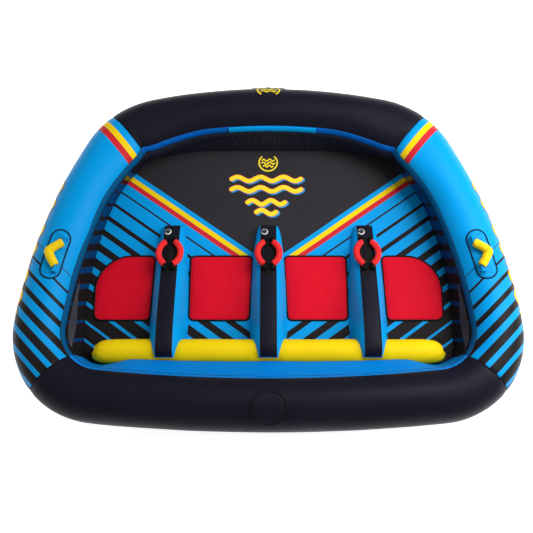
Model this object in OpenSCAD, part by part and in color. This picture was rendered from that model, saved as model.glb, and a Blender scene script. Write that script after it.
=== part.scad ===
// Four-rider towable tube: an oval inflated ring with a sewn fabric cover, a drop floor,
// four seats between padded dividers, hand grips, valves and a tow hook at the nose.
// X is the width, +Y points forward along the tow, +Z is up. The floor it lies on is Z = 0.

/* [Ring tube] */
// Radius of the inflated ring tube
tube_r = 130; // [110:5:140]
// Height of the ring's centre line above the ground
ring_z = 250; // [235:5:280]
// Y of the ring's centre line at the middle of the rear bow
rear_y = -764; // [-800:1:-740]
// Fabric thickness of the ring covers
cover_t = 2; // [1.5:0.5:3]
// Heading at which the black rear cover meets the side covers
rear_seam = 47.5; // [40:0.5:55]
// Heading at which the side covers meet the black front cover
front_seam = 143; // [135:0.5:150]

/* [Floor and hull] */
// Height of the floor's upper face
floor_z = 105; // [95:5:110]
// Y of the straight seam between the floor and the front wall
floor_front_y = 668; // [640:1:680]
// Height above the ring's inner side, in degrees, where the walls are sewn on
wall_seam = 13; // [8:1:18]
// Thickness of the wall panels
wall_t = 2.5; // [2:0.5:4]

/* [Dividers and bolster] */
// Distance between neighbouring dividers
divider_pitch = 516; // [500:2:530]
// Width of the flat top of a divider
divider_top_w = 84; // [70:2:90]
// Height of a divider at its low front end
divider_front_h = 62; // [50:1:75]
// Height of a divider at the backrest
divider_rear_h = 150; // [140:1:160]
// Radius of the backrest bolster
bolster_r = 62; // [55:1:64]
// Y of the bolster's axis
bolster_y = -494; // [-500:1:-485]
// Half length of the bolster
bolster_half = 880; // [860:5:895]

/* [Seat pads] */
// Thickness of a seat pad
pad_t = 9; // [6:1:14]
// Y of the pads' front edge
pad_front_y = 42; // [30:1:50]
// Y of the pads' rear edge
pad_rear_y = -318; // [-330:1:-300]

/* [Grips] */
// Radius of a padded divider grip
grip_r = 17; // [14:1:18]
// Radius of a padded side grip
side_grip_r = 20; // [16:1:21]
// Half of the distance between a divider grip's two ends
grip_half = 68; // [62:1:70]
// Half of the distance between a side grip's two ends
side_grip_half = 62; // [58:1:64]
// How far a divider grip bows out from its hinge line
grip_bow = 35; // [30:1:45]
// How far a side grip bows out from its hinge line
side_grip_bow = 56; // [50:1:60]

/* [Tow hook] */
// Radius of the tow eye's bore
eye_r = 12; // [10:0.5:14]
// Thickness of the tow hook's plate
hook_t = 12; // [10:1:16]

/* [Hidden] */

// The ring's centre line, as tangent arcs from the rear middle to the front middle.
// Each has a radius and the heading at which it ends. The last radius but one closes the loop.
arc_end = [5.7, 95, 116.8, 167.8, 180];
rear_bow_r = 8430;
rear_corner_r = 320;
side_r = 2550;
front_bow_r = 2820;
front_corner_r = (rear_bow_r * sin(arc_end[0]) + rear_corner_r * (sin(arc_end[1]) - sin(arc_end[0]))
    + side_r * (sin(arc_end[2]) - sin(arc_end[1])) - front_bow_r * sin(arc_end[3]))
    / (sin(arc_end[2]) - sin(arc_end[3]));
arc_r = [rear_bow_r, rear_corner_r, side_r, front_corner_r, front_bow_r];
function arc_start(i) = i == 0 ? 0 : arc_end[i - 1];
function clamped(i, heading) = min(max(heading, arc_start(i)), arc_end[i]);

function add(list, i = 0) = i >= len(list) ? 0 : list[i] + add(list, i + 1);
function half_x(heading) =
    add([for (i = [0:4]) arc_r[i] * (sin(clamped(i, heading)) - sin(arc_start(i)))]);
function half_y(heading) = rear_y
    + add([for (i = [0:4]) arc_r[i] * (cos(arc_start(i)) - cos(clamped(i, heading)))]);

// Point on the centre line at a heading from -180 to 360, and the same moved inward.
function wrapped(heading) = (heading + 360) % 360;
function line_point(heading) = let (a = wrapped(heading))
    a <= 180 ? [half_x(a), half_y(a)] : [-half_x(360 - a), half_y(360 - a)];
function outward(heading) = [sin(heading), -cos(heading)];
function inset_point(heading, inset, z) =
    let (p = line_point(heading) - inset * outward(heading)) [p[0], p[1], z];

// Headings from one to another, spaced so that the stations lie about a step apart.
breaks = [for (turn = [-360, 0, 360]) for (side = [-1, 1])
    each (side < 0 ? [for (i = [4:-1:0]) turn - arc_end[i]] : [for (i = [0:4]) turn + arc_end[i]])];
function radius_at(heading) = let (a = wrapped(heading), h = a > 180 ? 360 - a : a)
    h < arc_end[0] ? arc_r[0] : h < arc_end[1] ? arc_r[1] : h < arc_end[2] ? arc_r[2]
    : h < arc_end[3] ? arc_r[3] : arc_r[4];
function knots(from, to) = [from, each [for (b = breaks) if (b > from + 0.5 && b < to - 0.5) b], to];
function headings(from, to, step) = let (k = knots(from, to))
    [for (i = [0:len(k) - 2])
        let (span = k[i + 1] - k[i], r = radius_at((k[i] + k[i + 1]) / 2),
             parts = max(2, ceil(span / 180 * PI * r / step)))
        each [for (j = [0:parts - 1]) k[i] + span * j / parts], to];
function drop_last(list) = [for (i = [0:len(list) - 2]) list[i]];

ring_step = 95;
tube_sides = 20;
seam_z = ring_z + tube_r * sin(wall_seam);

// How far inward of the ring's centre line the floor's edge lies at each heading.
side_edge = [[0, 219], [5.7, 177], [47, 148], [80, 168], [95, 168], [100, 137], [112, 92],
    [120, 62], [130, 45], [140, 35]];
function floor_edge(heading) = let (a = wrapped(heading), h = a > 180 ? 360 - a : a)
    h < 140 ? lookup(h, side_edge) : max(35, (half_y(h) - floor_front_y) / -cos(h));

// The dividers' crest: flat at the rear, sloping down to the front.
slope_front_y = 100;
slope_rear_y = -350;
slope = atan2(divider_rear_h - divider_front_h, slope_front_y - slope_rear_y);
function crest(y) = divider_front_h + (slope_front_y - y) * tan(slope);
// Stations of a divider from rear to front: Y, height and half width at the floor.
divider_stations = [[-532, 118, 56], [-518, 142, 63], [-490, 154, 76], [-440, 154, 90],
    [-350, crest(-350), 97], [-150, crest(-150), 92], [0, crest(0), 83], [100, crest(100), 72],
    [150, crest(150), 66], [184, 42, 58], [200, 24, 46]];
grip_y = 16;
top_t = 2;
strap_t = 3;
shell_gap = 0.5;

// Side patch and grip, and the rear valve flap, placed on the ring.
side_heading = 102.6;
patch_lean = 8;
flap_lean = 14.7;
flap_r = 84;
collar_h = 5;

// Tow hook, hanging from its pin in front of the nose.
nose_y = half_y(180) + tube_r;
pin_r = 6;
pin_y = nose_y + 26;
eye_drop = 34;

// A closed body through loops of points, each running anticlockwise seen from its far end.
module loft(loops, closed = false) {
    n = len(loops[0]);
    m = len(loops);
    last = closed ? m - 1 : m - 2;
    sides = [for (j = [0:last], i = [0:n - 1])
        let (k = (j + 1) % m, i2 = (i + 1) % n, a = j * n + i, b = k * n + i, c = k * n + i2, d = j * n + i2)
        each [[a, b, c], [a, c, d]]];
    caps = closed ? [] : [[for (i = [0:n - 1]) i], [for (i = [n - 1:-1:0]) (m - 1) * n + i]];
    polyhedron(points = [for (loop = loops) each loop], faces = concat(sides, caps), convexity = 8);
}

function tube_loop(heading, r, sides) = [for (i = [0:sides - 1]) let (a = -360 * i / sides)
    inset_point(heading, -r * cos(a), ring_z + r * sin(a))];

module ring_part(from, to) {
    difference() {
        loft([for (h = headings(from, to, ring_step)) tube_loop(h, tube_r, tube_sides)]);
        loft([for (h = headings(from - 0.2, to + 0.2, ring_step))
            tube_loop(h, tube_r - cover_t, tube_sides)]);
    }
}

// Places children at a heading on the ring: X points outward, Y along the tube, and Z up
// from the tube's centre line, leaning outward by an angle.
module on_ring(heading, lean) {
    p = line_point(heading);
    translate([p[0], p[1], ring_z]) rotate([0, 0, heading - 90]) rotate([0, lean, 0]) children();
}

module valve_axis() { on_ring(0, flap_lean) children(); }

module front_cover() { color("#1c1c24") ring_part(front_seam, 360 - front_seam); }
module rear_cover() {
    color("#1c1c24") difference() {
        ring_part(-rear_seam, rear_seam);
        valve_axis() translate([0, 0, 100]) cylinder(r = 36, h = 40, $fn = 32);
    }
}
module right_side_cover() { color("#0a8fdc") ring_part(rear_seam, front_seam); }
module left_side_cover() { color("#0a8fdc") ring_part(360 - front_seam, 360 - rear_seam); }

bladder_r = tube_r - cover_t - shell_gap;
bladder_t = 1.5;
bladder_step = 130;
bladder_sides = 14;
module ring_bladder() {
    stations = drop_last(headings(0, 360, bladder_step));
    inscribed = bladder_r * cos(180 / tube_sides);
    color("#d9d9cf") difference() {
        loft([for (h = stations) tube_loop(h, inscribed - 4, bladder_sides)], true);
        loft([for (h = stations) tube_loop(h, inscribed - 4 - bladder_t, bladder_sides)], true);
        valve_axis() translate([0, 0, 90]) cylinder(r = 33, h = 50, $fn = 32);
    }
}

// A band on the inner side of the ring, between two angles above the inner side.
module ring_band(from, to, low, high, near, thick, closed = false) {
    list = closed ? drop_last(headings(from, to, ring_step)) : headings(from, to, ring_step);
    mid = (low + high) / 2;
    loft([for (h = list) concat(
        [for (a = [low, mid, high])
            inset_point(h, (tube_r + near) * cos(a), ring_z + (tube_r + near) * sin(a))],
        [for (a = [high, mid, low]) inset_point(h, (tube_r + near + thick) * cos(a),
            ring_z + (tube_r + near + thick) * sin(a))])], closed);
}
module inner_strip() { color("#0a8fdc") ring_band(0, 360, wall_seam + 2, 29, 1.4, 1.5, true); }
module zip_flap() { color("#3fb4ea") ring_band(174.6, 184.6, wall_seam + 3, 28, 3.6, 1.5); }

// Hull: a tray under the ring, sewn to the ring's lower outer side.
hull_bottom_inset = 60;
hull_levels = [[0, hull_bottom_inset], [12, 22], [45, -18], [90, -48], [136, -69]];
hull_t = 3;
function outline(inset, z, step = ring_step) =
    [for (h = drop_last(headings(0, 360, step))) inset_point(h, inset, z)];
function edge_outline(inset, z, step = ring_step) =
    [for (h = drop_last(headings(0, 360, step))) inset_point(h, floor_edge(h) + inset, z)];
module hull_cover() {
    color("#1c1c24") difference() {
        loft([for (level = hull_levels) outline(level[1], level[0])]);
        loft([for (i = [0:4]) outline(hull_levels[i][1] + hull_t,
            i == 0 ? hull_t : i == 4 ? hull_levels[i][0] + 1 : hull_levels[i][0])]);
    }
}
deck_top = floor_z - 4;
module deck_bladder() {
    step = 160;
    color("#d9d9cf") difference() {
        loft([outline(75, 4, step), outline(40, 16, step), outline(14, 45, step),
            outline(6, 76, step), outline(30, deck_top, step)]);
        loft([outline(77, 6, step), outline(42, 18, step), outline(16, 45, step),
            outline(8, 75, step), outline(31, deck_top - 2, step)]);
    }
}
module floor_cover() {
    color("#2f2b2d") loft([edge_outline(0, floor_z - 3), edge_outline(0, floor_z)]);
}

// Wall panels: from the seam on the ring's inner side down to the floor, clear of the tube.
wall_foot_z = floor_z + 0.5;
wall_levels = [wall_foot_z, 122, 140, 160, 185, 215, 250, seam_z];
function tube_inset(z) = sqrt(max(0, tube_r * tube_r - (z - ring_z) * (z - ring_z)));
// How far the rear wall is pushed forward against the bolster, by height and by heading.
push_by_height = [[105, 0], [140, 6], [167, 17], [185, 28], [200, 38], [215, 40], [235, 30],
    [250, 20], [279, 0]];
push_by_heading = [[0, 1], [2.85, 0.65], [5.7, 0.1], [8, 0]];
function wall_push(heading, z) = let (a = wrapped(heading))
    lookup(z, push_by_height) * lookup(min(a, 360 - a), push_by_heading);
function wall_inset(heading, z) = let (top = tube_r * cos(wall_seam) + 1.5)
    max(tube_inset(z) + 3, top + (floor_edge(heading) + 1 - top) * (seam_z - z) / (seam_z - wall_foot_z))
    + wall_push(heading, z);
module wall(from, to) {
    top = len(wall_levels) - 1;
    color("#15161c") loft([for (h = headings(from, to, ring_step)) concat(
        [for (i = [0:top]) inset_point(h, wall_inset(h, wall_levels[i]), wall_levels[i])],
        [for (i = [top:-1:0]) inset_point(h, wall_inset(h, wall_levels[i]) + wall_t, wall_levels[i])])]);
}
module front_wall() { wall(front_seam + 0.05, 360 - front_seam - 0.05); }
module rear_wall() { wall(-rear_seam + 0.05, rear_seam - 0.05); }
module right_wall() { wall(rear_seam + 0.05, front_seam - 0.05); }
module left_wall() { wall(360 - front_seam + 0.05, 360 - rear_seam - 0.05); }

// Mesh vents: crescents on the side walls beside the outer seats.
vent_from = 58;
vent_to = 100.5;
module vent(from, to) {
    list = headings(from, to, 70);
    color("#3a3d42") loft([for (h = list)
        let (part = (h - from) / (to - from), rise = 8 + 62 * sin(180 * part))
        concat(
            [for (z = [seam_z - 8 - rise, seam_z - 8 - rise / 2, seam_z - 8])
                inset_point(h, wall_inset(h, z) + wall_t + 2.5, z)],
            [for (z = [seam_z - 8, seam_z - 8 - rise / 2, seam_z - 8 - rise])
                inset_point(h, wall_inset(h, z) + wall_t + 3.5, z)])]);
}
module right_vent() { vent(vent_from, vent_to); }
module left_vent() { vent(360 - vent_to, 360 - vent_from); }

// Bolster: a roll with rounded ends across the backs of the seats.
bolster_end_r = 26;
module roll(r, half, round_r) {
    translate([0, bolster_y, floor_z + 0.5 + bolster_r]) rotate([0, 90, 0]) rotate_extrude($fn = 48)
        difference() {
            translate([0, -half]) square([r, 2 * half]);
            for (side = [-1, 1]) translate([r - round_r, side * (half - round_r)]) difference() {
                translate([0, side > 0 ? 0 : -round_r - 1]) square([round_r + 1, round_r + 1]);
                circle(r = round_r, $fn = 48);
            }
        }
}
module bolster_cover() {
    color("#f0d800") difference() {
        roll(bolster_r, bolster_half, bolster_end_r);
        roll(bolster_r - 2, bolster_half - 2, bolster_end_r - 2);
    }
}
module bolster_bladder() {
    color("#d9d9cf") difference() {
        roll(bolster_r - 3, bolster_half - 3, bolster_end_r - 3);
        roll(bolster_r - 4.5, bolster_half - 4.5, bolster_end_r - 4.5);
    }
}

// Dividers: wedge-shaped inflated blocks, low in front and high at the backrest.
function divider_loop(x, station, shrink) = let (y = station[0], h = station[1] - shrink,
    w = station[2] - shrink, t = min(divider_top_w / 2, w - 8) - shrink, z = floor_z + 0.5)
    [for (p = [[-w + 4, shrink], [w - 4, shrink], [w, 8 + shrink], [w - 3, h * 0.45],
        [(w + t) / 2 + 4, h * 0.8], [t + 1, h - 3], [t - 5, h], [-t + 5, h], [-t - 1, h - 3],
        [-(w + t) / 2 - 4, h * 0.8], [-w + 3, h * 0.45], [-w, 8 + shrink]])
        [x - p[0], y, z + p[1]]];
module divider_block(x, shrink) {
    ends = len(divider_stations) - 1;
    loft([for (i = [0:ends]) let (s = divider_stations[i],
        moved = i == 0 ? [s[0] + shrink, s[1], s[2]] : i == ends ? [s[0] - shrink, s[1], s[2]] : s)
        divider_loop(x, moved, shrink)]);
}
module saddle(gap) {
    translate([-1000, bolster_y, floor_z + 0.5 + bolster_r]) rotate([0, 90, 0])
        cylinder(r = bolster_r + gap, h = 2000, $fn = 64);
    translate([-1000, bolster_y - 200, floor_z - 20]) cube([2000, 200, 20 + bolster_r]);
}
module divider_cover(x) {
    color("#0a8fdc") difference() {
        divider_block(x, 0);
        difference() {
            divider_block(x, 2);
            saddle(4);
        }
        saddle(1.5);
    }
}
module divider_bladder(x) {
    color("#d9d9cf") difference() {
        divider_block(x, 3);
        difference() {
            divider_block(x, 5);
            saddle(8);
        }
        saddle(5.5);
    }
}
module divider_top(x) {
    last = len(divider_stations) - 1;
    color("#1c1c24") loft([for (i = [1:last]) let (s = divider_stations[i],
        w = min(divider_top_w / 2, s[2] - 8) - 5.5, z = floor_z + 0.5 + s[1] + 0.4)
        [[x - w, s[0], z], [x - w, s[0], z + top_t], [x + w, s[0], z + top_t], [x + w, s[0], z]]]);
}
module left_divider_cover() { divider_cover(-divider_pitch); }
module centre_divider_cover() { divider_cover(0); }
module right_divider_cover() { divider_cover(divider_pitch); }
module left_divider_bladder() { divider_bladder(-divider_pitch); }
module centre_divider_bladder() { divider_bladder(0); }
module right_divider_bladder() { divider_bladder(divider_pitch); }
module left_divider_top() { divider_top(-divider_pitch); }
module centre_divider_top() { divider_top(0); }
module right_divider_top() { divider_top(divider_pitch); }

// Seat pads: foam sheets with rounded corners on the floor.
pad_corner = 26;
module rounded_plate(corners, r, z, t) {
    translate([0, 0, z]) linear_extrude(t) hull() {
        for (c = corners) translate([c[0], c[1]]) circle(r = c[2] == undef ? r : c[2], $fn = 32);
    }
}
module inner_pad(side) {
    r = pad_corner;
    color("#e01b24") rounded_plate([[side * (100 + r), pad_rear_y + r], [side * (414 - r), pad_rear_y + r],
        [side * (414 - r), pad_front_y - r], [side * (84 + r), pad_front_y - r]], r, floor_z + 0.5, pad_t);
}
module outer_pad(side) {
    r = pad_corner;
    big = 170;
    color("#e01b24") intersection() {
        rounded_plate([[side * (616 + r), pad_rear_y + r], [side * (908 - r), pad_rear_y + r],
            [side * (912 - big), pad_front_y - big, big], [side * (616 + r), pad_front_y - r]],
            r, floor_z + 0.5, pad_t);
        translate([side > 0 ? 616 : -916, pad_rear_y - 10, floor_z]) cube([300, 500, 40]);
    }
}
module left_outer_pad() { outer_pad(-1); }
module left_inner_pad() { inner_pad(-1); }
module right_inner_pad() { inner_pad(1); }
module right_outer_pad() { outer_pad(1); }

// Grips: a padded bow that turns about the line between its two ends.
module on_crest(x) {
    translate([x, grip_y, floor_z + 0.5 + crest(grip_y) + 0.4 + top_t]) rotate([-slope, 0, 0]) children();
}
module bow(out, half, tube, reach) {
    r = (half * half + out * out) / (2 * out);
    turn = asin(half / r);
    translate([out - r, 0, 0]) rotate([0, 0, -turn]) rotate_extrude(angle = 2 * turn, $fn = 96)
        translate([r, 0]) circle(r = tube, $fn = 32);
    for (end = [-1, 1]) translate([0, end * (half + reach / 2 - 3), 0]) rotate([90, 0, 0])
        cylinder(r = 7, h = reach + 6, $fn = 32, center = true);
}
strap_w = 64;
strap_half = 84;
ear_t = 4;
ear_y = grip_half + 21;
side_ear_y = side_grip_half + side_grip_r + 6;
grip_lift = grip_r + 1 + strap_t;
module grip_strap(x) {
    color("#15161c") on_crest(x) {
        translate([-strap_w / 2, -strap_half - 14, 0.3]) cube([strap_w, 2 * strap_half + 28, strap_t]);
        for (end = [-1, 1]) translate([0, end * ear_y, 0.3 + strap_t / 2])
            for (side = [-1, 1]) translate([side * 22 - 9, -ear_t / 2, 0])
                cube([18, ear_t, grip_lift + 6]);
    }
}
module grip(x, side) {
    color("#ff3b3b") on_crest(x) translate([side * 22, 0, grip_lift + 0.3]) mirror([side < 0 ? 1 : 0, 0, 0])
        bow(grip_bow, grip_half, grip_r, 18);
}
module left_grip_strap() { grip_strap(-divider_pitch); }
module centre_grip_strap() { grip_strap(0); }
module right_grip_strap() { grip_strap(divider_pitch); }
module grip_1() { grip(-divider_pitch, -1); }
module grip_2() { grip(-divider_pitch, 1); }
module grip_3() { grip(0, -1); }
module grip_4() { grip(0, 1); }
module grip_5() { grip(divider_pitch, -1); }
module grip_6() { grip(divider_pitch, 1); }

// Side patches and grips on the ring, beside the outer riders.
patch_half = 80;
patch_r = 50;
side_line = -26;
module stadium(r, half, h) {
    for (end = [-1, 1]) translate([0, end * half, 0]) cylinder(r = r, h = h, $fn = 48);
    translate([-r, -half, 0]) cube([2 * r, 2 * half, h]);
}
module patch(heading) {
    color("#0a8fdc") on_ring(heading, -patch_lean) {
        intersection() {
            translate([0, 0, 60]) stadium(patch_r, patch_half, 100);
            translate([0, 400, 0]) rotate([90, 0, 0]) difference() {
                cylinder(r = tube_r + 3.5, h = 800, $fn = 96);
                translate([0, 0, -1]) cylinder(r = tube_r + 1.5, h = 802, $fn = 96);
            }
        }
        for (end = [-1, 1]) translate([side_line - 9, end * side_ear_y - ear_t / 2, tube_r + 0.5])
            cube([18, ear_t, 32]);
    }
}
side_grip_z = tube_r + side_grip_r + 5;
module side_grip(heading) {
    color("#ffdc1e") on_ring(heading, -patch_lean) translate([side_line, 0, side_grip_z])
        bow(side_grip_bow, side_grip_half, side_grip_r, 23);
}
module right_side_patch() { patch(side_heading); }
module left_side_patch() { patch(360 - side_heading); }
module right_side_grip() { side_grip(side_heading); }
module left_side_grip() { side_grip(360 - side_heading); }

// Rear valve: a collar on the cover, a flap over it, and the valve with its turning cap.
module curved_disc(near, thick, r) {
    valve_axis() intersection() {
        translate([0, 0, 60]) cylinder(r = r, h = 120, $fn = 96);
        translate([0, 200, 0]) rotate([90, 0, 0]) difference() {
            cylinder(r = tube_r + near + thick, h = 400, $fn = 128);
            translate([0, 0, -1]) cylinder(r = tube_r + near, h = 402, $fn = 128);
        }
    }
}
module valve_collar() {
    color("#15161c") difference() {
        curved_disc(1, collar_h - 1, flap_r);
        valve_axis() cylinder(r = flap_r - 12, h = 200, $fn = 96);
    }
}
module valve_flap() { color("#1c1c24") curved_disc(collar_h + 0.5, 2, flap_r - 1); }
module main_valve() {
    color("#f2f2ee") valve_axis() difference() {
        union() {
            translate([0, 0, 100]) cylinder(r = 19, h = 24, $fn = 48);
            translate([0, 0, 119]) cylinder(r = 30, h = 2, $fn = 48);
        }
        translate([0, 0, 99]) cylinder(r = 13, h = 26, $fn = 48);
    }
}
module main_valve_cap() {
    color("#2b2b30") valve_axis() {
        translate([0, 0, 124.3]) cylinder(r = 18, h = 3, $fn = 48);
        translate([-12, -2, 127.2]) cube([24, 4, 1.6]);
        translate([0, 0, 116]) cylinder(r = 12.9, h = 8.5, $fn = 48);
    }
}

// Divider valves on the low front ends, each with a plug on a flap hinge.
plug_y = 152;
plug_r = 13;
plug_lift = 52.5;
plug_x = -20;
module at_plug(x) { translate([x + plug_x, plug_y, floor_z + plug_lift]) rotate([-14, 0, 0]) children(); }
module divider_valves() {
    color("#f2f2ee") for (x = [-1, 0, 1] * divider_pitch) at_plug(x) difference() {
        union() {
            translate([0, 0, 4]) cylinder(r = 18, h = 2.5, $fn = 48);
            translate([0, 0, 4]) cylinder(r = 11, h = 4.5, $fn = 48);
        }
        translate([0, 0, 3]) cylinder(r = 7, h = 8, $fn = 48);
    }
}
module divider_plug(x) {
    color("#2b2b30") at_plug(x) {
        translate([0, 0, 8.8]) cylinder(r = plug_r, h = 2.5, $fn = 48);
        translate([-plug_r - 6, -4, 8.8]) cube([12, 8, 2.5]);
    }
}
module divider_plug_1() { divider_plug(-divider_pitch); }
module divider_plug_2() { divider_plug(0); }
module divider_plug_3() { divider_plug(divider_pitch); }

// Tow point: a sewn patch on the nose, a bracket with a pin, and the hook with its eye.
bracket_w = 46;
ear_gap = hook_t + 1.2;
module tow_patch() {
    color("#15161c") intersection() {
        translate([0, half_y(180), ring_z]) rotate([0, 90, 0]) translate([0, 0, -90]) difference() {
            cylinder(r = tube_r + 8, h = 180, $fn = 128);
            translate([0, 0, -1]) cylinder(r = tube_r + 4.5, h = 182, $fn = 128);
        }
        translate([-90, half_y(180), ring_z - 60]) cube([180, 300, 120]);
    }
}
module tow_bracket() {
    color("#b9bdc2") difference() {
        union() {
            translate([-bracket_w / 2, nose_y + 8.5, ring_z - 18]) cube([bracket_w, 4, 40]);
            for (side = [-1, 1]) translate([side * (ear_gap / 2 + 2.5) - 2.5, nose_y + 12, ring_z - 10])
                cube([5, 14, 20]);
            for (side = [-1, 1]) translate([side * (ear_gap / 2 + 2.5) - 2.5, pin_y, ring_z])
                rotate([0, 90, 0]) cylinder(r = 10, h = 5, $fn = 48);
        }
        translate([-30, pin_y, ring_z]) rotate([0, 90, 0]) cylinder(r = pin_r + 0.1, h = 60, $fn = 48);
    }
}
module tow_pin() {
    color("#8d9196") {
        translate([-ear_gap / 2 - 7, pin_y, ring_z]) rotate([0, 90, 0])
            cylinder(r = pin_r, h = ear_gap + 14, $fn = 48);
        for (side = [-1, 1]) translate([side * (ear_gap / 2 + 7.4) - 1.4, pin_y, ring_z])
            rotate([0, 90, 0]) cylinder(r = pin_r + 3, h = 2.8, $fn = 48);
    }
}
module tow_hook() {
    ring_out = eye_r + 8;
    color("#c3c7cc") translate([-hook_t / 2, pin_y, ring_z]) rotate([0, 90, 0]) difference() {
        union() {
            cylinder(r = pin_r + 5, h = hook_t, $fn = 64);
            translate([eye_drop, 0, 0]) cylinder(r = ring_out, h = hook_t, $fn = 64);
            translate([0, -9, 0]) cube([eye_drop, 18, hook_t]);
        }
        translate([0, 0, -1]) cylinder(r = pin_r + 0.1, h = hook_t + 2, $fn = 64);
        translate([eye_drop, 0, -1]) cylinder(r = eye_r, h = hook_t + 2, $fn = 64);
    }
}

front_cover();
rear_cover();
left_side_cover();
right_side_cover();
ring_bladder();
inner_strip();
zip_flap();
hull_cover();
deck_bladder();
floor_cover();
front_wall();
rear_wall();
left_wall();
right_wall();
left_vent();
right_vent();
bolster_cover();
bolster_bladder();
left_divider_cover();
centre_divider_cover();
right_divider_cover();
left_divider_bladder();
centre_divider_bladder();
right_divider_bladder();
left_divider_top();
centre_divider_top();
right_divider_top();
left_outer_pad();
left_inner_pad();
right_inner_pad();
right_outer_pad();
left_grip_strap();
centre_grip_strap();
right_grip_strap();
grip_1();
grip_2();
grip_3();
grip_4();
grip_5();
grip_6();
left_side_patch();
right_side_patch();
left_side_grip();
right_side_grip();
valve_collar();
valve_flap();
main_valve();
main_valve_cap();
divider_valves();
divider_plug_1();
divider_plug_2();
divider_plug_3();
tow_patch();
tow_bracket();
tow_pin();
tow_hook();
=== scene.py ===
"""Four-rider towable tube: covers, cushions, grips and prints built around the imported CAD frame."""
import math

import bmesh
import bpy
import numpy as np
from mathutils import Matrix, Vector


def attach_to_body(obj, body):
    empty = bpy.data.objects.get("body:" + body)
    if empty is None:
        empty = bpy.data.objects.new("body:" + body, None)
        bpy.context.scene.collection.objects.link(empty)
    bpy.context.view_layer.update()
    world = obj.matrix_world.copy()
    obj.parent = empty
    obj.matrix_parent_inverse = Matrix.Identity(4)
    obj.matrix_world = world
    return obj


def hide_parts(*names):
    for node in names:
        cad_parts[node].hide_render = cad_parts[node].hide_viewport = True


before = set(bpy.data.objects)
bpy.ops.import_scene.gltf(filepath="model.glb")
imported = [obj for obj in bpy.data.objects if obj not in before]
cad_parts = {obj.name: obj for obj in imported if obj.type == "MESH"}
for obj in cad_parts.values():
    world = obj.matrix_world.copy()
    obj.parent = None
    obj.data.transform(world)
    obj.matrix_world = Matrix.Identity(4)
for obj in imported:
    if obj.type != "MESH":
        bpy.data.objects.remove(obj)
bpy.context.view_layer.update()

MM = 0.001

# ---- Sizes that follow the CAD frame, in metres, with headings and leans in degrees ----
TUBE_R = 0.130
RING_Z = 0.250          # height of the ring's centre line
FLOOR_Z = 0.105
FLOOR_FRONT_Y = 0.668
REAR_Y = -0.764         # the centre line at the rear middle
REAR_SEAM = 47.5        # heading of the rear cover's ends
FRONT_SEAM = 139.0      # heading of the front cover's ends, 4 degrees behind the CAD's
WALL_SEAM = 13.0        # the walls' upper seam, above the ring's inner side
PITCH = 0.516           # from one divider to the next
BOLSTER_R = 0.062
BOLSTER_Y = -0.494
BOLSTER_HALF = 0.892    # 12 mm longer than the CAD's
GRIP_Y = 0.016
SIDE_HEADING = 102.6
PATCH_LEAN = -8.0       # inward of the tube's top
FLAP_LEAN = 14.7

# Colours, as linear values
BLUE = (0.0, 0.315, 0.74, 1)
NAVY = (0.0085, 0.0085, 0.0165, 1)
FLOOR_BLACK = (0.026, 0.024, 0.028, 1)
STRIPE_BLACK = (0.013, 0.011, 0.012, 1)
EDGE_BROWN = (0.028, 0.010, 0.006, 1)
YELLOW = (0.86, 0.62, 0.004, 1)
BAND_RED = (0.60, 0.022, 0.030, 1)
PAD_RED = (0.68, 0.004, 0.020, 1)
GRIP_RED = (0.84, 0.028, 0.030, 1)
GRIP_YELLOW = (0.90, 0.62, 0.010, 1)
WEBBING = (0.008, 0.008, 0.009, 1)
NET_GREY = (0.085, 0.085, 0.10, 1)


def smooth(x, low, high):
    t = np.clip((x - low) / (high - low), 0, 1)
    return t * t * (3 - 2 * t)


def ripple(u, v, size, seed, octaves=3):
    """Smooth seeded noise of about unit height, over two coordinates in metres."""
    rng = np.random.default_rng(seed)
    total = np.zeros(np.broadcast(u, v).shape)
    for k in range(octaves):
        for _ in range(4):
            turn, phase = rng.uniform(0, 2 * math.pi, 2)
            wave = 2 * math.pi * 2**k / size * rng.uniform(0.7, 1.3)
            total += np.sin((u * math.cos(turn) + v * math.sin(turn)) * wave + phase) / (4 * 1.6**k)
    return total


# ---- The ring's centre line: tangent arcs from the rear middle to the front middle ----
ARC_END = [5.7, 95.0, 116.8, 167.8, 180.0]
ARC_START = [0.0] + ARC_END[:-1]
ARC_R = [8.430, 0.320, 2.550, 0.0, 2.820]


def close_line():
    """The front corner's radius closes the loop."""
    reach = [math.sin(math.radians(e)) - math.sin(math.radians(s)) for s, e in zip(ARC_START, ARC_END)]
    ARC_R[3] = -sum(r * d for r, d in zip(ARC_R, reach)) / reach[3]


close_line()
ARC_LEN = [r * math.radians(e - s) for r, s, e in zip(ARC_R, ARC_START, ARC_END)]
HALF_LEN = sum(ARC_LEN)
LOOP_LEN = 2 * HALF_LEN
KNOT_S = np.concatenate([[0], np.cumsum(ARC_LEN)])
KNOT_A = np.array([0.0] + ARC_END)


def right_half(heading):
    """A heading folded onto the ring's right half, from 0 at the rear to 180 at the front."""
    h = np.mod(np.asarray(heading, float), 360)
    return np.where(h > 180, 360 - h, h)


def heading_at(s):
    """Heading of the centre line, in degrees, at a distance along it from the rear middle."""
    s = np.mod(np.asarray(s, float), LOOP_LEN)
    back = s > HALF_LEN
    a = np.interp(np.where(back, LOOP_LEN - s, s), KNOT_S, KNOT_A)
    return np.where(back, 360 - a, a)


def distance_at(heading):
    """Distance along the centre line from the rear middle, at a heading in degrees."""
    h = np.mod(np.asarray(heading, float), 360)
    s = np.interp(right_half(h), KNOT_A, KNOT_S)
    return np.where(h > 180, LOOP_LEN - s, s)


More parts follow.
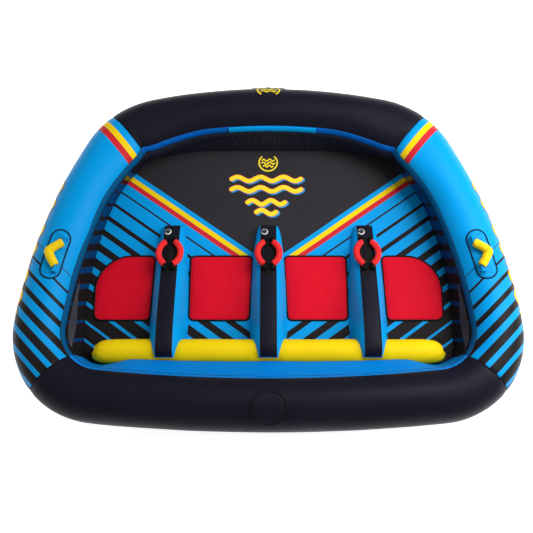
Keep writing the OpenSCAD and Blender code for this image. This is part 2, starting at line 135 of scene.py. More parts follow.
def line_point(heading):
    """Points of the centre line and its outward directions at headings in degrees."""
    h = np.mod(np.asarray(heading, float), 360)
    a = right_half(h)
    x = np.zeros_like(a)
    y = np.full_like(a, REAR_Y)
    for r, low, high in zip(ARC_R, ARC_START, ARC_END):
        c = np.radians(np.clip(a, low, high))
        x += r * (np.sin(c) - math.sin(math.radians(low)))
        y += r * (math.cos(math.radians(low)) - np.cos(c))
    x = np.where(h > 180, -x, x)
    return np.stack([x, y], -1), np.stack([np.sin(np.radians(h)), -np.cos(np.radians(h))], -1)


def floor_edge(heading):
    """How far inward of the ring's centre line the floor's edge lies."""
    a = right_half(heading)
    key = [0, 5.7, 47, 80, 95, 100, 112, 120, 130, 140]
    inset = [0.219, 0.177, 0.148, 0.168, 0.168, 0.137, 0.092, 0.062, 0.045, 0.035]
    p, _ = line_point(a)
    front = np.maximum(0.035, (p[..., 1] - FLOOR_FRONT_Y) / np.maximum(-np.cos(np.radians(a)), 0.3))
    return np.where(a < 140, np.interp(a, key, inset), front)


SEAM_Z = RING_Z + TUBE_R * math.sin(math.radians(WALL_SEAM))
WALL_FOOT_Z = FLOOR_Z + 0.5 * MM


def wall_inset(heading, z):
    """How far inward of the centre line a wall hangs: over the tube, then down to the floor's edge."""
    top = TUBE_R * math.cos(math.radians(WALL_SEAM)) + 1.5 * MM
    tube = np.sqrt(np.maximum(0, TUBE_R**2 - (z - RING_Z) ** 2))
    line = top + (floor_edge(heading) + 1 * MM - top) * (SEAM_Z - z) / (SEAM_Z - WALL_FOOT_Z)
    return np.maximum(tube + 3 * MM, line)


def mitre(heading, inset):
    """The covers meet at an angle in the front corners, so the inner side turns more sharply there."""
    a = right_half(heading)
    half = (ARC_END[3] - ARC_END[2]) / 2
    off = np.clip(half - np.abs(a - ARC_END[2] - half), 0, None)
    extra = (ARC_R[3] - inset) * (1 / np.cos(np.radians(off)) - 1)
    beside = np.abs(distance_at(a) - distance_at(ARC_END[2] + half))
    fuller = 0.050 * (1 - smooth(beside, 0.0, 0.45))
    return (extra - fuller) * smooth(np.asarray(inset, float), 0.0, 0.105)


def rear_wall_inset(heading, z):
    """The rear wall leans forward onto the back of the bolster."""
    base = wall_inset(heading, z)
    a = right_half(heading)
    push = np.interp(z, [0.105, 0.140, 0.167, 0.185, 0.200, 0.215, 0.235, 0.250, 0.279],
                     [0, 0.010, 0.025, 0.036, 0.046, 0.046, 0.034, 0.021, 0])
    p, _ = line_point(a)
    lift = z - FLOOR_Z - BOLSTER_R
    back = BOLSTER_Y - np.sqrt(np.maximum(0, BOLSTER_R**2 - lift**2)) - 0.004
    limit = (back - p[..., 1]) / np.cos(np.radians(np.minimum(a, 60)))
    free = base + push * (1 - smooth(p[..., 0], 0.66, 0.87))
    pushed = np.where(np.abs(lift) < 0.060, np.minimum(free, limit), free)
    return np.maximum(base, pushed)


def inset_points(heading, inset, z):
    """Points at a distance inward of the centre line, at heights z."""
    p, n = line_point(heading)
    inset = inset - mitre(heading, inset)
    q = p - n * np.asarray(inset)[..., None]
    return np.concatenate([q, np.broadcast_to(z, q.shape[:-1])[..., None]], -1)


# ---- Mesh helpers ----
def shade_smooth(obj):
    obj.data.polygons.foreach_set("use_smooth", [True] * len(obj.data.polygons))
    return obj


def attach(slot, *pieces, body="tube"):
    """Makes pieces move with a body. The slot argument is not used."""
    for piece in pieces:
        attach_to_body(piece, body)


def new_mesh(name, verts, faces, material, flow=None):
    """A mesh object; flow holds two distances over the cloth at each vertex."""
    mesh = bpy.data.meshes.new(name)
    mesh.from_pydata([tuple(v) for v in verts], [], faces)
    if flow is not None:
        layer = mesh.attributes.new("flow", "FLOAT_VECTOR", "POINT")
        layer.data.foreach_set("vector", np.asarray(flow, np.float32).ravel())
    mesh.update()
    obj = bpy.data.objects.new(name, mesh)
    bpy.context.scene.collection.objects.link(obj)
    mesh.materials.append(material)
    return shade_smooth(obj)


def grid(name, pts, material, flow=None, wrap_u=False, wrap_v=False, flip=False, caps=False):
    """A sheet of quads through an array of points of shape (rows, columns, 3)."""
    n, m = pts.shape[:2]
    index = np.arange(n * m).reshape(n, m)
    rows = n if wrap_u else n - 1
    cols = m if wrap_v else m - 1
    faces = []
    for i in range(rows):
        for j in range(cols):
            i2, j2 = (i + 1) % n, (j + 1) % m
            q = [index[i, j], index[i2, j], index[i2, j2], index[i, j2]]
            faces.append(q[::-1] if flip else q)
    if caps:
        turn = -1 if flip else 1
        faces += [index[0][::turn], index[-1][::-turn]]
    faces = [[int(k) for k in f] for f in faces]
    return new_mesh(name, pts.reshape(-1, 3), faces, material,
                    None if flow is None else flow.reshape(-1, 3))


def thicken(obj, thickness, offset=-1.0):
    """Gives a sheet its thickness, inward unless an offset says otherwise."""
    mod = obj.modifiers.new("cloth thickness", "SOLIDIFY")
    mod.thickness = thickness
    mod.offset = offset
    return obj


def full_turn(count):
    """Angles evenly round a circle."""
    return np.linspace(0, 2 * math.pi, count, endpoint=False)


def raised(outline, z):
    """Flat points lifted to one height."""
    return np.column_stack([outline, np.full(len(outline), z)])


def looped(points):
    """Points with the first one repeated at the end."""
    return np.vstack([points, points[:1]])


def resample(points, step, closed=False):
    """Points at even steps along a line, and their distances along it."""
    p = np.asarray(points, float)
    if closed:
        p = looped(p)
    d = np.concatenate([[0], np.cumsum(np.linalg.norm(np.diff(p, axis=0), axis=1))])
    count = max(3, int(round(d[-1] / step)))
    t = np.linspace(0, d[-1], count + 1)
    out = np.stack([np.interp(t, d, p[:, k]) for k in range(3)], -1)
    return (out[:-1], t[:-1]) if closed else (out, t)


def tube(name, points, radius, material, closed=False, sides=10, flat=1.0, up=(0, 0, 1), caps=True):
    """A tube along points. flat squashes it along the up direction, and radius may be an array."""
    p = np.asarray(points, float)
    ahead = np.roll(p, -1, 0) - np.roll(p, 1, 0) if closed else np.gradient(p, axis=0)
    ahead /= np.linalg.norm(ahead, axis=1)[:, None]
    up = np.broadcast_to(np.asarray(up, float), p.shape)
    side = np.cross(ahead, up)
    side /= np.maximum(np.linalg.norm(side, axis=1), 1e-9)[:, None]
    top = np.cross(side, ahead)
    r = np.broadcast_to(radius, (len(p),))
    a = full_turn(sides)
    ring = (p[:, None] + side[:, None] * (np.cos(a)[None, :, None] * r[:, None, None])
            + top[:, None] * (np.sin(a)[None, :, None] * r[:, None, None] * flat))
    d = np.concatenate([[0], np.cumsum(np.linalg.norm(np.diff(p, axis=0), axis=1))])
    flow = np.stack(np.broadcast_arrays(d[:, None], (a * np.max(r))[None], 0.0), -1)
    return grid(name, ring, material, flow, wrap_u=closed, wrap_v=True, caps=caps and not closed)


def on_ring(heading, lean):
    """The CAD's local frame on the ring: X outward, Y along the tube, Z up, leaning outward."""
    p, _ = line_point(heading)
    return (Matrix.Translation((float(p[0]), float(p[1]), RING_Z))
            @ Matrix.Rotation(math.radians(heading - 90), 4, "Z")
            @ Matrix.Rotation(math.radians(lean), 4, "Y"))


def join(name, objs):
    """Joins meshes with the same material into one."""
    bm = bmesh.new()
    for o in objs:
        bm.from_mesh(o.data)
    mesh = objs[0].data
    bm.to_mesh(mesh)
    bm.free()
    for o in objs[1:]:
        bpy.data.objects.remove(o)
    objs[0].name = name
    mesh.name = name
    mesh.update()
    return shade_smooth(objs[0])


# ---- Materials ----
# Edges of the yellow and red bands, then start and pitch of the black stripes
FLOOR_BANDS = (0.0265, 0.0525, 0.0785)
FLOOR_STRIPES = (0.130, 0.0765)
SIDE_BANDS = (0.039, 0.071, 0.104)
SIDE_STRIPES = (0.6953, 0.0594)


class Nodes:
    """A material's node tree, with short calls for the nodes used here."""

    def __init__(self, name):
        self.material = bpy.data.materials.new(name)
        self.material.use_nodes = True
        self.tree = self.material.node_tree
        self.shader = self.tree.nodes["Principled BSDF"]

    def add(self, kind, **values):
        node = self.tree.nodes.new(kind)
        for key, value in values.items():
            setattr(node, key, value)
        return node

    def feed(self, socket, value):
        if isinstance(value, bpy.types.NodeSocket):
            self.tree.links.new(value, socket)
        else:
            size = len(socket.default_value) if hasattr(socket.default_value, "__len__") else 0
            socket.default_value = value[:size] if size else value

    def math(self, operation, a, b=0.0, c=0.0):
        node = self.add("ShaderNodeMath", operation=operation)
        for socket, value in zip(node.inputs, (a, b, c)):
            self.feed(socket, value)
        return node.outputs[0]

    def minus(self, a, b):
        return self.math("SUBTRACT", a, b)

    def times(self, a, b):
        return self.math("MULTIPLY", a, b)

    def inverse(self, mask):
        return self.minus(1.0, mask)

    def vary(self, noise, amount, base):
        """A base value moved up and down by a noise."""
        return self.math("MULTIPLY_ADD", self.minus(noise, 0.5), amount, base)

    def step(self, value, edge, soft=0.0007):
        """0 below the edge and 1 above it, with a soft border."""
        node = self.add("ShaderNodeMapRange", interpolation_type="SMOOTHSTEP")
        self.feed(node.inputs["Value"], value)
        moving = isinstance(edge, bpy.types.NodeSocket)
        for socket, reach in (("From Min", -soft), ("From Max", soft)):
            self.feed(node.inputs[socket], self.math("ADD", edge, reach) if moving else edge + reach)
        return node.outputs[0]

    def band(self, value, low, high, soft=0.0007):
        """1 between two edges and 0 outside them."""
        return self.times(self.step(value, low, soft), self.inverse(self.step(value, high, soft)))

    def blend(self, factor, a, b):
        """Mixes two colours; their sockets are numbers 6 and 7 of the node."""
        node = self.add("ShaderNodeMix", data_type="RGBA")
        self.feed(node.inputs["Factor"], factor)
        self.feed(node.inputs[6], a)
        self.feed(node.inputs[7], b)
        return node.outputs[2]

    def split(self, vector):
        node = self.add("ShaderNodeSeparateXYZ")
        self.feed(node.inputs[0], vector)
        return node.outputs

    def join(self, x, y, z=0.0):
        node = self.add("ShaderNodeCombineXYZ")
        for socket, value in zip(node.inputs, (x, y, z)):
            self.feed(socket, value)
        return node.outputs[0]

    def place(self):
        return self.add("ShaderNodeTexCoord").outputs["Object"]

    def flow(self):
        return self.add("ShaderNodeAttribute", attribute_name="flow").outputs["Vector"]

    def noise(self, vector, scale, detail=3.0, rough=0.55):
        node = self.add("ShaderNodeTexNoise")
        self.feed(node.inputs["Vector"], vector)
        node.inputs["Scale"].default_value = scale
        node.inputs["Detail"].default_value = detail
        node.inputs["Roughness"].default_value = rough
        return node.outputs[0]

    def wave(self, value, pitch):
        """A smooth 0 to 1 wave of a pitch in metres."""
        angle = self.math("MULTIPLY", value, 2 * math.pi / pitch)
        return self.math("MULTIPLY_ADD", self.math("SINE", angle), 0.5, 0.5)

    def weave(self, vector, pitch):
        """Height of crossed threads, each passing over and under."""
        x, y, z = self.split(vector)
        u = self.math("MULTIPLY_ADD", z, 0.7, x)
        v = self.math("MULTIPLY_ADD", z, 0.7, y)
        warp, weft = self.wave(u, pitch), self.wave(v, pitch)
        return self.math("MAXIMUM", self.times(warp, self.wave(v, pitch * 2)),
                         self.times(weft, self.wave(u, pitch * 2)))

    def bump(self, height, distance, strength=1.0, under=None):
        node = self.add("ShaderNodeBump")
        node.inputs["Strength"].default_value = strength
        node.inputs["Distance"].default_value = distance
        self.feed(node.inputs["Height"], height)
        if under is not None:
            self.feed(node.inputs["Normal"], under)
        return node.outputs[0]

    def paint(self, colour, shade):
        """The base colour, made lighter and darker by a shade."""
        scaled = self.add("ShaderNodeVectorMath", operation="SCALE")
        self.feed(scaled.inputs[0], colour)
        self.feed(scaled.inputs["Scale"], shade)
        self.feed(self.shader.inputs["Base Color"], scaled.outputs[0])

    def fabric(self, colour, coords, pitch=0.0016, weave_depth=0.0002, rough=0.5, wear=0.25,
               crease=0.0015, crease_scale=14.0, gleam=0.07):
        """Finishes a woven cloth: worn colour, uneven gloss, threads and soft creases."""
        low = self.noise(coords, 5.0, 4.0)
        fine = self.noise(coords, 90.0, 3.0, 0.6)
        threads = self.weave(coords, pitch)
        shade = self.vary(fine, wear * 0.6, self.vary(low, wear, 1.0))
        self.paint(colour, self.vary(threads, 0.10, shade))
        self.feed(self.shader.inputs["Roughness"], self.vary(fine, 0.12, self.vary(low, 0.18, rough)))
        soft = self.bump(self.noise(coords, crease_scale, 2.0, 0.45), crease, 0.6)
        self.feed(self.shader.inputs["Normal"], self.bump(threads, weave_depth, 0.7, soft))
        self.shader.inputs["Specular IOR Level"].default_value = gleam
        return self.material


def plain_fabric(name, colour, **looks):
    nodes = Nodes(name)
    return nodes.fabric(colour, nodes.place(), **looks)


def stitched(nodes, base, along, across, line, colour, length=0.007, width=0.0011):
    """A row of stitches along a line at a given distance across."""
    dash = nodes.step(nodes.wave(along, length), 0.42, 0.08)
    mask = nodes.times(dash, nodes.band(across, line - width / 2, line + width / 2, 0.0002))
    return nodes.blend(mask, base, colour)


def two_bands(nodes, value, edges, field, yellow, red):
    """A yellow and a red band side by side over a field."""
    start, middle, end = edges
    colour = nodes.blend(nodes.band(value, start, middle), field, yellow)
    return nodes.blend(nodes.band(value, middle, end), colour, red)


def stripe_phase(nodes, value, stripes):
    """The number of the stripe at a value, and how far through its pitch the value is."""
    start, pitch = stripes
    phase = nodes.math("DIVIDE", nodes.minus(value, start), pitch)
    return nodes.math("FLOOR", phase), nodes.math("FRACT", phase)


def striped(nodes, field, number, inside, rim):
    """Lays black stripes with brown edges over a field, from stripe number 0 on."""
    inside = nodes.times(inside, nodes.step(number, -0.5, 0.1))
    stripe = nodes.blend(nodes.times(inside, rim), STRIPE_BLACK, EDGE_BROWN)
    return nodes.blend(inside, field, stripe)


def side_print():
    """Blue side covers: three bands behind the front seam, and stripes that thicken rearward."""
    nodes = Nodes("side_cover_print")
    coords = nodes.flow()
    behind, around, _ = nodes.split(coords)
    x, y, z = nodes.split(nodes.place())
    seam, _ = line_point(FRONT_SEAM)
    back_x, back_y = -math.cos(math.radians(FRONT_SEAM)), -math.sin(math.radians(FRONT_SEAM))
    out = nodes.math("ABSOLUTE", x)
    off = nodes.math("MULTIPLY_ADD", out, back_x, nodes.times(y, back_y))
    off = nodes.minus(off, float(back_x * seam[0] + back_y * seam[1]))
    colour = two_bands(nodes, off, SIDE_BANDS, BLUE, YELLOW, BAND_RED)
    across = nodes.minus(nodes.times(out, 0.64), nodes.times(y, 0.655))
    drop = nodes.math("MAXIMUM", nodes.minus(0.32, z), 0.0)
    across = nodes.math("MULTIPLY_ADD", drop, 0.6, across)
    number, part = stripe_phase(nodes, across, SIDE_STRIPES)
    half = nodes.math("MINIMUM", nodes.math("MULTIPLY_ADD", number, 0.053, 0.028), 0.33)
    from_middle = nodes.math("ABSOLUTE", nodes.minus(part, 0.5))
    inside = nodes.inverse(nodes.step(from_middle, half, 0.006))
    rim = nodes.step(from_middle, nodes.minus(half, 0.035), 0.006)
    colour = striped(nodes, colour, number, inside, rim)
    colour = stitched(nodes, colour, around, behind, 0.010, (0.01, 0.12, 0.4, 1))
    return nodes.fabric(colour, coords, rough=0.36, wear=0.10, crease=0.002, crease_scale=9.0)


def slanted(nodes, x, y):
    """Distance rearward and outward from the edge of the black middle of the floor."""
    out = nodes.times(nodes.math("ABSOLUTE", x), 0.581)
    return nodes.minus(nodes.minus(out, nodes.times(y, 0.814)), 0.005)


def banded(nodes, q, colour, yellow, red):
    """A yellow and a red band beside the floor's black middle, and the stripes past them."""
    colour = two_bands(nodes, q, FLOOR_BANDS, colour, yellow, red)
    number, part = stripe_phase(nodes, q, FLOOR_STRIPES)
    duty = nodes.math("MINIMUM", nodes.math("MULTIPLY_ADD", number, 0.094, 0.125), 0.84)
    inside = nodes.times(nodes.step(part, 0.004, 0.004), nodes.inverse(nodes.step(part, duty, 0.008)))
    rim = nodes.inverse(nodes.band(part, 0.04, nodes.minus(duty, 0.04), 0.006))
    return striped(nodes, colour, number, inside, rim)


def floor_print():
    """Floor: black middle, then blue, yellow and red bands, then a striped blue field."""
    nodes = Nodes("floor_print")
    coords = nodes.place()
    x, y, _ = nodes.split(coords)
    q = slanted(nodes, x, y)
    colour = nodes.blend(nodes.step(q, 0.0), FLOOR_BLACK, BLUE)
    colour = nodes.blend(nodes.band(q, -0.0028, 0.0004, 0.0004), colour, EDGE_BROWN)
    colour = banded(nodes, q, colour, YELLOW, BAND_RED)
    return nodes.fabric(colour, coords, rough=0.55, wear=0.16, crease=0.003, crease_scale=5.0)


def wall_print():
    """Side walls carry the floor's stripes on upward, in darkened copies of the floor's colours as painted
    shade.
    """
    nodes = Nodes("side_wall_print")
    coords = nodes.place()
    x, y, z = nodes.split(coords)
    q = nodes.math("MULTIPLY_ADD", nodes.minus(z, FLOOR_Z), -0.32, slanted(nodes, x, y))
    # The blue, yellow and red here are darkened copies of the floor's colours: painted shade on the walls.
    colour = nodes.blend(nodes.step(q, 0.0), NAVY, (0.001, 0.045, 0.16, 1))
    colour = banded(nodes, q, colour, (0.16, 0.11, 0.002, 1), (0.06, 0.004, 0.006, 1))
    return nodes.fabric(colour, coords, rough=0.55, wear=0.2, crease=0.003, gleam=0.03)


def pad_cloth():
    """Red seat cloth with a row of stitches beside the binding."""
    nodes = Nodes("pad_cloth")
    coords = nodes.place()
    along, across, _ = nodes.split(nodes.flow())
    colour = stitched(nodes, PAD_RED, along, across, 0.0085, (0.30, 0.002, 0.006, 1))
    return nodes.fabric(colour, coords, pitch=0.0022, weave_depth=0.0003, rough=0.62, wear=0.14,
                        crease_scale=12.0)


def webbing_cloth(name, colour=WEBBING, pitch=0.003):
    return plain_fabric(name, colour, pitch=pitch, weave_depth=0.0005, rough=0.58, wear=0.3, crease=0.0004,
                        crease_scale=60.0)


def moulded(name, colour, rough=0.4, metal=0.0, brushed=False, wear=0.15):
    """Moulded plastic, rubber or worked metal with fine grain and small scratches."""
    nodes = Nodes(name)
    coords = nodes.place()
    grain = nodes.noise(coords, 420.0, 4.0, 0.6)
    blotch = nodes.noise(coords, 30.0, 4.0, 0.6)
    if brushed:
        x, y, z = nodes.split(coords)
        lines = nodes.join(nodes.times(x, 40.0), nodes.times(y, 900.0), nodes.times(z, 900.0))
        grain = nodes.noise(lines, 1.0, 3.0, 0.6)
    nodes.paint(colour, nodes.vary(grain, wear, nodes.vary(blotch, wear, 1.0)))
    nodes.feed(nodes.shader.inputs["Roughness"], nodes.vary(blotch, 0.2, rough))
    nodes.feed(nodes.shader.inputs["Normal"], nodes.bump(grain, 0.0002, 0.5))
    nodes.shader.inputs["Metallic"].default_value = metal
    return nodes.material


RING_BLACK = plain_fabric("ring_black_cloth", NAVY, rough=0.40, wear=0.22, crease=0.002, crease_scale=7.0)
PLAIN_BLUE = plain_fabric("blue_cloth", BLUE, rough=0.42, wear=0.10, crease=0.0018, crease_scale=11.0)
BAND_BLUE = plain_fabric("band_blue_cloth", (0.0, 0.11, 0.46, 1), rough=0.5, wear=0.12, crease=0.0015)
REAR_BLUE = plain_fabric("rear_blue_cloth", (0.0, 0.195, 0.60, 1), rough=0.5, wear=0.12, crease=0.0018)
# A darker copy of the inner band's blue for the side stretches: painted shade where the band faces inward and
# down.
BAND_PAINTED_SHADE = plain_fabric("band_side_painted_shade_cloth", (0.0, 0.085, 0.22, 1), rough=0.5, wear=0.12, crease=0.0015)
WALL_BLACK = plain_fabric("wall_black_cloth", (0.019, 0.021, 0.035, 1), rough=0.5, wear=0.25, crease=0.003,
                          crease_scale=12.0)
BOLSTER_YELLOW = plain_fabric("bolster_cloth", YELLOW, rough=0.45, wear=0.08, crease=0.0025, crease_scale=8.0)
SIDE_PRINT = side_print()
FLOOR_PRINT = floor_print()
WALL_PRINT = wall_print()
PAD_CLOTH = pad_cloth()
RED_GRIP, YELLOW_GRIP = (
    plain_fabric(name, colour, pitch=0.0012, rough=0.6, wear=0.14, crease=0.0012, crease_scale=60.0)
    for name, colour in (("grip_red_cloth", GRIP_RED), ("grip_yellow_cloth", GRIP_YELLOW)))
WEBBING_BLACK = webbing_cloth("black_webbing")
BINDING_BLACK = webbing_cloth("black_binding", pitch=0.002)
NET = webbing_cloth("net_thread", NET_GREY, pitch=0.0012)
THREAD_BLUE = webbing_cloth("dark_blue_thread", (0.004, 0.07, 0.25, 1), pitch=0.0012)
VALVE_WHITE = moulded("white_plastic", (0.80, 0.80, 0.79), rough=0.35)
PLUG_BLACK = moulded("black_rubber", (0.016, 0.018, 0.03), rough=0.5)
ALUMINIUM = moulded("satin_aluminium", (0.62, 0.63, 0.65), rough=0.34, metal=1.0, brushed=True, wear=0.08)
STEEL = moulded("pin_steel", (0.50, 0.51, 0.53), rough=0.28, metal=1.0, brushed=True, wear=0.08)
PRINT_YELLOW, PRINT_RED, PRINT_BLUE = (
    plain_fabric(name, colour, rough=0.5, wear=0.1, crease=0.0005)
    for name, colour in (("print_yellow", (0.92, 0.70, 0.03, 1)), ("print_red", (0.70, 0.05, 0.06, 1)),
                         ("print_blue", (0.02, 0.30, 0.70, 1))))

# ---- Ring covers ----
S_REAR_SEAM = float(distance_at(REAR_SEAM))
S_FRONT_SEAM = float(distance_at(FRONT_SEAM))
# Stretches of the ring, from seam to seam along the centre line
SPANS = {"front": (S_FRONT_SEAM, LOOP_LEN - S_FRONT_SEAM), "rear": (-S_REAR_SEAM, S_REAR_SEAM),
         "right": (S_REAR_SEAM, S_FRONT_SEAM), "left": (LOOP_LEN - S_FRONT_SEAM, LOOP_LEN - S_REAR_SEAM)}
ZIP_SPAN = (float(distance_at(174.6)), float(distance_at(184.6)))
COVER_STEP = 0.010
AROUND = 120
VALVE_HOLE_R = 0.035


def taut(s, angle):
    """The covers' radius with its slow ripple."""
    return TUBE_R + 0.0012 * ripple(s, angle * TUBE_R, 0.42, 11, 2)


def cover_radius(s, angle, ends):
    """The cover's radius: taut, pinched at its end seams, and creased inside the corners."""
    a = right_half(heading_at(s))
    rear_corner = smooth(a, 8, 30) * (1 - smooth(a, 88, 100))
    front_corner = smooth(a, 118, 135) * (1 - smooth(a, 158, 166))
    corner = rear_corner + 0.6 * front_corner
    inner = smooth(-np.cos(angle), 0.25, 0.95)
    r = taut(s, angle)
    crease = ripple(s, angle * 0.02, 0.055, 23, 2)
    r -= 0.0032 * corner * inner * np.clip(crease, -0.2, 1.2)
    for end in ends:
        d = np.abs(s - end)
        r -= 0.0030 * np.exp(-(d / 0.011) ** 2)
        pucker = ripple(angle * TUBE_R, s * 0.15, 0.045, 31, 2)
        r += 0.0009 * pucker * np.exp(-d / 0.028)
    return r


def ring_cover(name, span, material, flow_of, fine_near=None):
    """A cover round the tube, with shorter quads near one distance if it is given."""
    start, end = span
    count = int(round((end - start) / COVER_STEP))
    s = np.linspace(start, end, count + 1)
    if fine_near is not None:
        near = np.arange(fine_near - 0.056, fine_near + 0.0561, 0.004)
        s = np.sort(np.concatenate([s[np.abs(s - fine_near) > 0.060], near]))
    ss, aa = np.meshgrid(s, full_turn(AROUND), indexing="ij")
    r = cover_radius(ss, aa, span)
    pts = inset_points(heading_at(ss), -r * np.cos(aa), RING_Z + r * np.sin(aa))
    return grid(name, pts, material, flow_of(ss, aa), wrap_v=True, flip=True)


def plain_flow(s, a):
    """Distances along the ring and round the tube."""
    return np.stack([s, a * TUBE_R, np.zeros_like(s)], -1)


def side_flow(side):
    """Along: distance behind the front seam. Around: from the inner side over the top."""
    def flow(s, a):
        behind = S_FRONT_SEAM - s if side > 0 else s - (LOOP_LEN - S_FRONT_SEAM)
        over = np.where(a > 1.5 * math.pi, a - 2 * math.pi, a)
        return np.stack([behind, (math.pi - over) * TUBE_R, np.zeros_like(s)], -1)
    return flow


def cut_valve_hole(obj):
    """Opens the cover over the inflation valve."""
    into = on_ring(0, FLAP_LEAN).inverted()
    bm = bmesh.new()
    bm.from_mesh(obj.data)
    gone = [f for f in bm.faces if (p := into @ f.calc_center_median()).z > 0
            and math.hypot(p.x, p.y) < VALVE_HOLE_R]
    bmesh.ops.delete(bm, geom=gone, context="FACES")
    bm.to_mesh(obj.data)
    bm.free()


covers = {}
for word, material, flow_of, fine_near, slot, nodes in (
        ("front", RING_BLACK, plain_flow, None, "cover_black", ("front_cover",)),
        ("rear", RING_BLACK, plain_flow, 0.0, "cover_black", ("rear_cover", "ring_bladder")),
        ("right", SIDE_PRINT, side_flow(1), None, "cover_blue", ("right_side_cover",)),
        ("left", SIDE_PRINT, side_flow(-1), None, "cover_blue", ("left_side_cover",))):
    cover = ring_cover("ring_cover_" + word, SPANS[word], material, flow_of, fine_near)
    covers[word] = thicken(cover, 1.5 * MM)
    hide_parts(*nodes)
    attach(slot, cover)
cut_valve_hole(covers["rear"])


def seam_ring(name, s):
    """Piping round the tube where two covers meet."""
    a = full_turn(96)
    r = TUBE_R - 2.0 * MM
    pts = inset_points(np.full_like(a, float(heading_at(s))), -r * np.cos(a), RING_Z + r * np.sin(a))
    n = line_point(heading_at(s))[1]
    return tube(name, pts, 2.2 * MM, BINDING_BLACK, closed=True, sides=8, up=(-n[1], n[0], 0))


for name, s in (("seam_rear_right", S_REAR_SEAM), ("seam_rear_left", -S_REAR_SEAM),
                ("seam_front_right", S_FRONT_SEAM), ("seam_front_left", -S_FRONT_SEAM)):
    attach("webbing_black", seam_ring(name, s))


def loop_at(angle_deg, r, step=0.012):
    """A closed line round the ring's inner side, at a height angle above the inner side."""
    s = np.arange(0, LOOP_LEN, step)
    c, z = math.cos(math.radians(angle_deg)), math.sin(math.radians(angle_deg))
    return inset_points(heading_at(s), np.full_like(s, r * c), RING_Z + r * z)


def inner_band(name, span, material, low=WALL_SEAM + 1.0, high=30.0, proud=0.0008, swell=0.0034):
    """A band along the ring's inner side, slightly swollen between its seams."""
    s = np.linspace(*span, int((span[1] - span[0]) / 0.008) + 1)
    angle = np.linspace(low, high, 11)
    ss, aa = np.meshgrid(s, angle, indexing="ij")
    part = (aa - angle[0]) / (angle[-1] - angle[0])
    r = TUBE_R + proud + swell * np.sin(math.pi * part) ** 0.7
    r += 0.0007 * ripple(ss, aa * 0.002, 0.05, 5, 2) * np.sin(math.pi * part)
    rad = np.radians(aa)
    pts = inset_points(heading_at(ss), r * np.cos(rad), RING_Z + r * np.sin(rad))
    return thicken(grid(name, pts, material, plain_flow(ss, rad)), 1.2 * MM)


# The side stretches of the band take the darker blue as painted shade.
bands = {word: inner_band("inner_band_" + word, SPANS[word], material) for word, material in (
    ("front", BAND_BLUE), ("rear", REAR_BLUE), ("right", BAND_PAINTED_SHADE), ("left", BAND_PAINTED_SHADE))}
zip_cover = inner_band("zip_cover", ZIP_SPAN, PLAIN_BLUE, WALL_SEAM + 2.0, 29.0, 0.0044, 0.0042)
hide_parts("inner_strip")
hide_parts("zip_flap")
attach("cover_blue", *bands.values(), zip_cover)
for name, angle, radius, thick in (("inner_band_piping", 30.4, TUBE_R + 0.6 * MM, 1.9 * MM),
                                   ("wall_seam_piping", WALL_SEAM + 0.3, TUBE_R + 2.2 * MM, 2.4 * MM)):
    attach("webbing_black", tube(name, loop_at(angle, radius), thick, BINDING_BLACK, closed=True, sides=8))

# ---- Walls, vents and floor ----


def wall(name, span, material, pleat, seed, inset):
    """A wall panel hanging from the ring's inner seam to the floor's edge."""
    s = np.linspace(*span, int((span[1] - span[0]) / 0.006) + 1)
    z = np.linspace(WALL_FOOT_Z, SEAM_Z, 26)
    ss, zz = np.meshgrid(s, z, indexing="ij")
    heading = heading_at(ss)
    part = (zz - z[0]) / (z[-1] - z[0])
    fold = ripple(ss, zz * 0.10, 0.030, seed, 2) * 0.6 + ripple(ss, zz * 0.45, 0.11, seed + 1, 2) * 0.6
    out = pleat * np.abs(fold) * np.sin(math.pi * np.clip(part, 0, 1)) ** 0.6
    pts = inset_points(heading, inset(heading, zz) + 2.0 * MM + out, zz)
    return thicken(grid(name, pts, material, plain_flow(ss, zz)), 1.2 * MM, 1.0)


walls = {}
for word, material, pleat, seed, inset, slot in (
        ("front", WALL_BLACK, 0.0050, 41, wall_inset, "cover_black"),
        ("rear", REAR_BLUE, 0.0022, 43, rear_wall_inset, "cover_blue"),
        ("right", WALL_PRINT, 0.0030, 47, wall_inset, "cover_blue"),
        ("left", WALL_PRINT, 0.0030, 47, wall_inset, "cover_blue")):
    walls[word] = wall("wall_" + word, SPANS[word], material, pleat, seed, inset)
    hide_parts(word + "_wall")
    attach(slot, walls[word])


def vent(name, low_heading, high_heading):
    """A net crescent: real crossed threads over the wall."""
    s = np.linspace(float(distance_at(low_heading)), float(distance_at(high_heading)), 62)
    part = np.linspace(0, 1, 11)
    ss, pp = np.meshgrid(s, part, indexing="ij")
    across = (ss - s[0]) / (s[-1] - s[0])
    drop = 0.006 + 0.064 * np.sin(math.pi * across)
    zz = SEAM_Z - 0.007 - drop * (1 - pp)
    heading = heading_at(ss)
    pts = inset_points(heading, wall_inset(heading, zz) + 7.5 * MM, zz)
    n, m = ss.shape
    verts, faces = pts.reshape(-1, 3), []
    for i in range(n - 1):
        for j in range(m - 1):
            a, b, c, d = i * m + j, (i + 1) * m + j, (i + 1) * m + j + 1, i * m + j + 1
            faces += [[a, b, d], [b, c, d]] if (i + j) % 2 else [[a, b, c], [a, c, d]]
    obj = new_mesh(name, verts, faces, NET)
    mod = obj.modifiers.new("threads", "WIREFRAME")
    mod.thickness = 1.7 * MM
    return obj


for word, low, high in (("right", 58.0, 100.5), ("left", 259.5, 302.0)):
    net = vent("vent_" + word, low, high)
    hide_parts(word + "_vent")
    attach("mesh_grey", net)

EDGE_S = np.linspace(0, HALF_LEN, 900)
EDGE_PTS = inset_points(heading_at(EDGE_S), floor_edge(heading_at(EDGE_S)), FLOOR_Z)


def floor_half_width(y):
    """Half width of the floor at a Y, from the outline's right half."""
    order = np.maximum.accumulate(EDGE_PTS[:, 1])
    return np.interp(y, order, EDGE_PTS[:, 0])


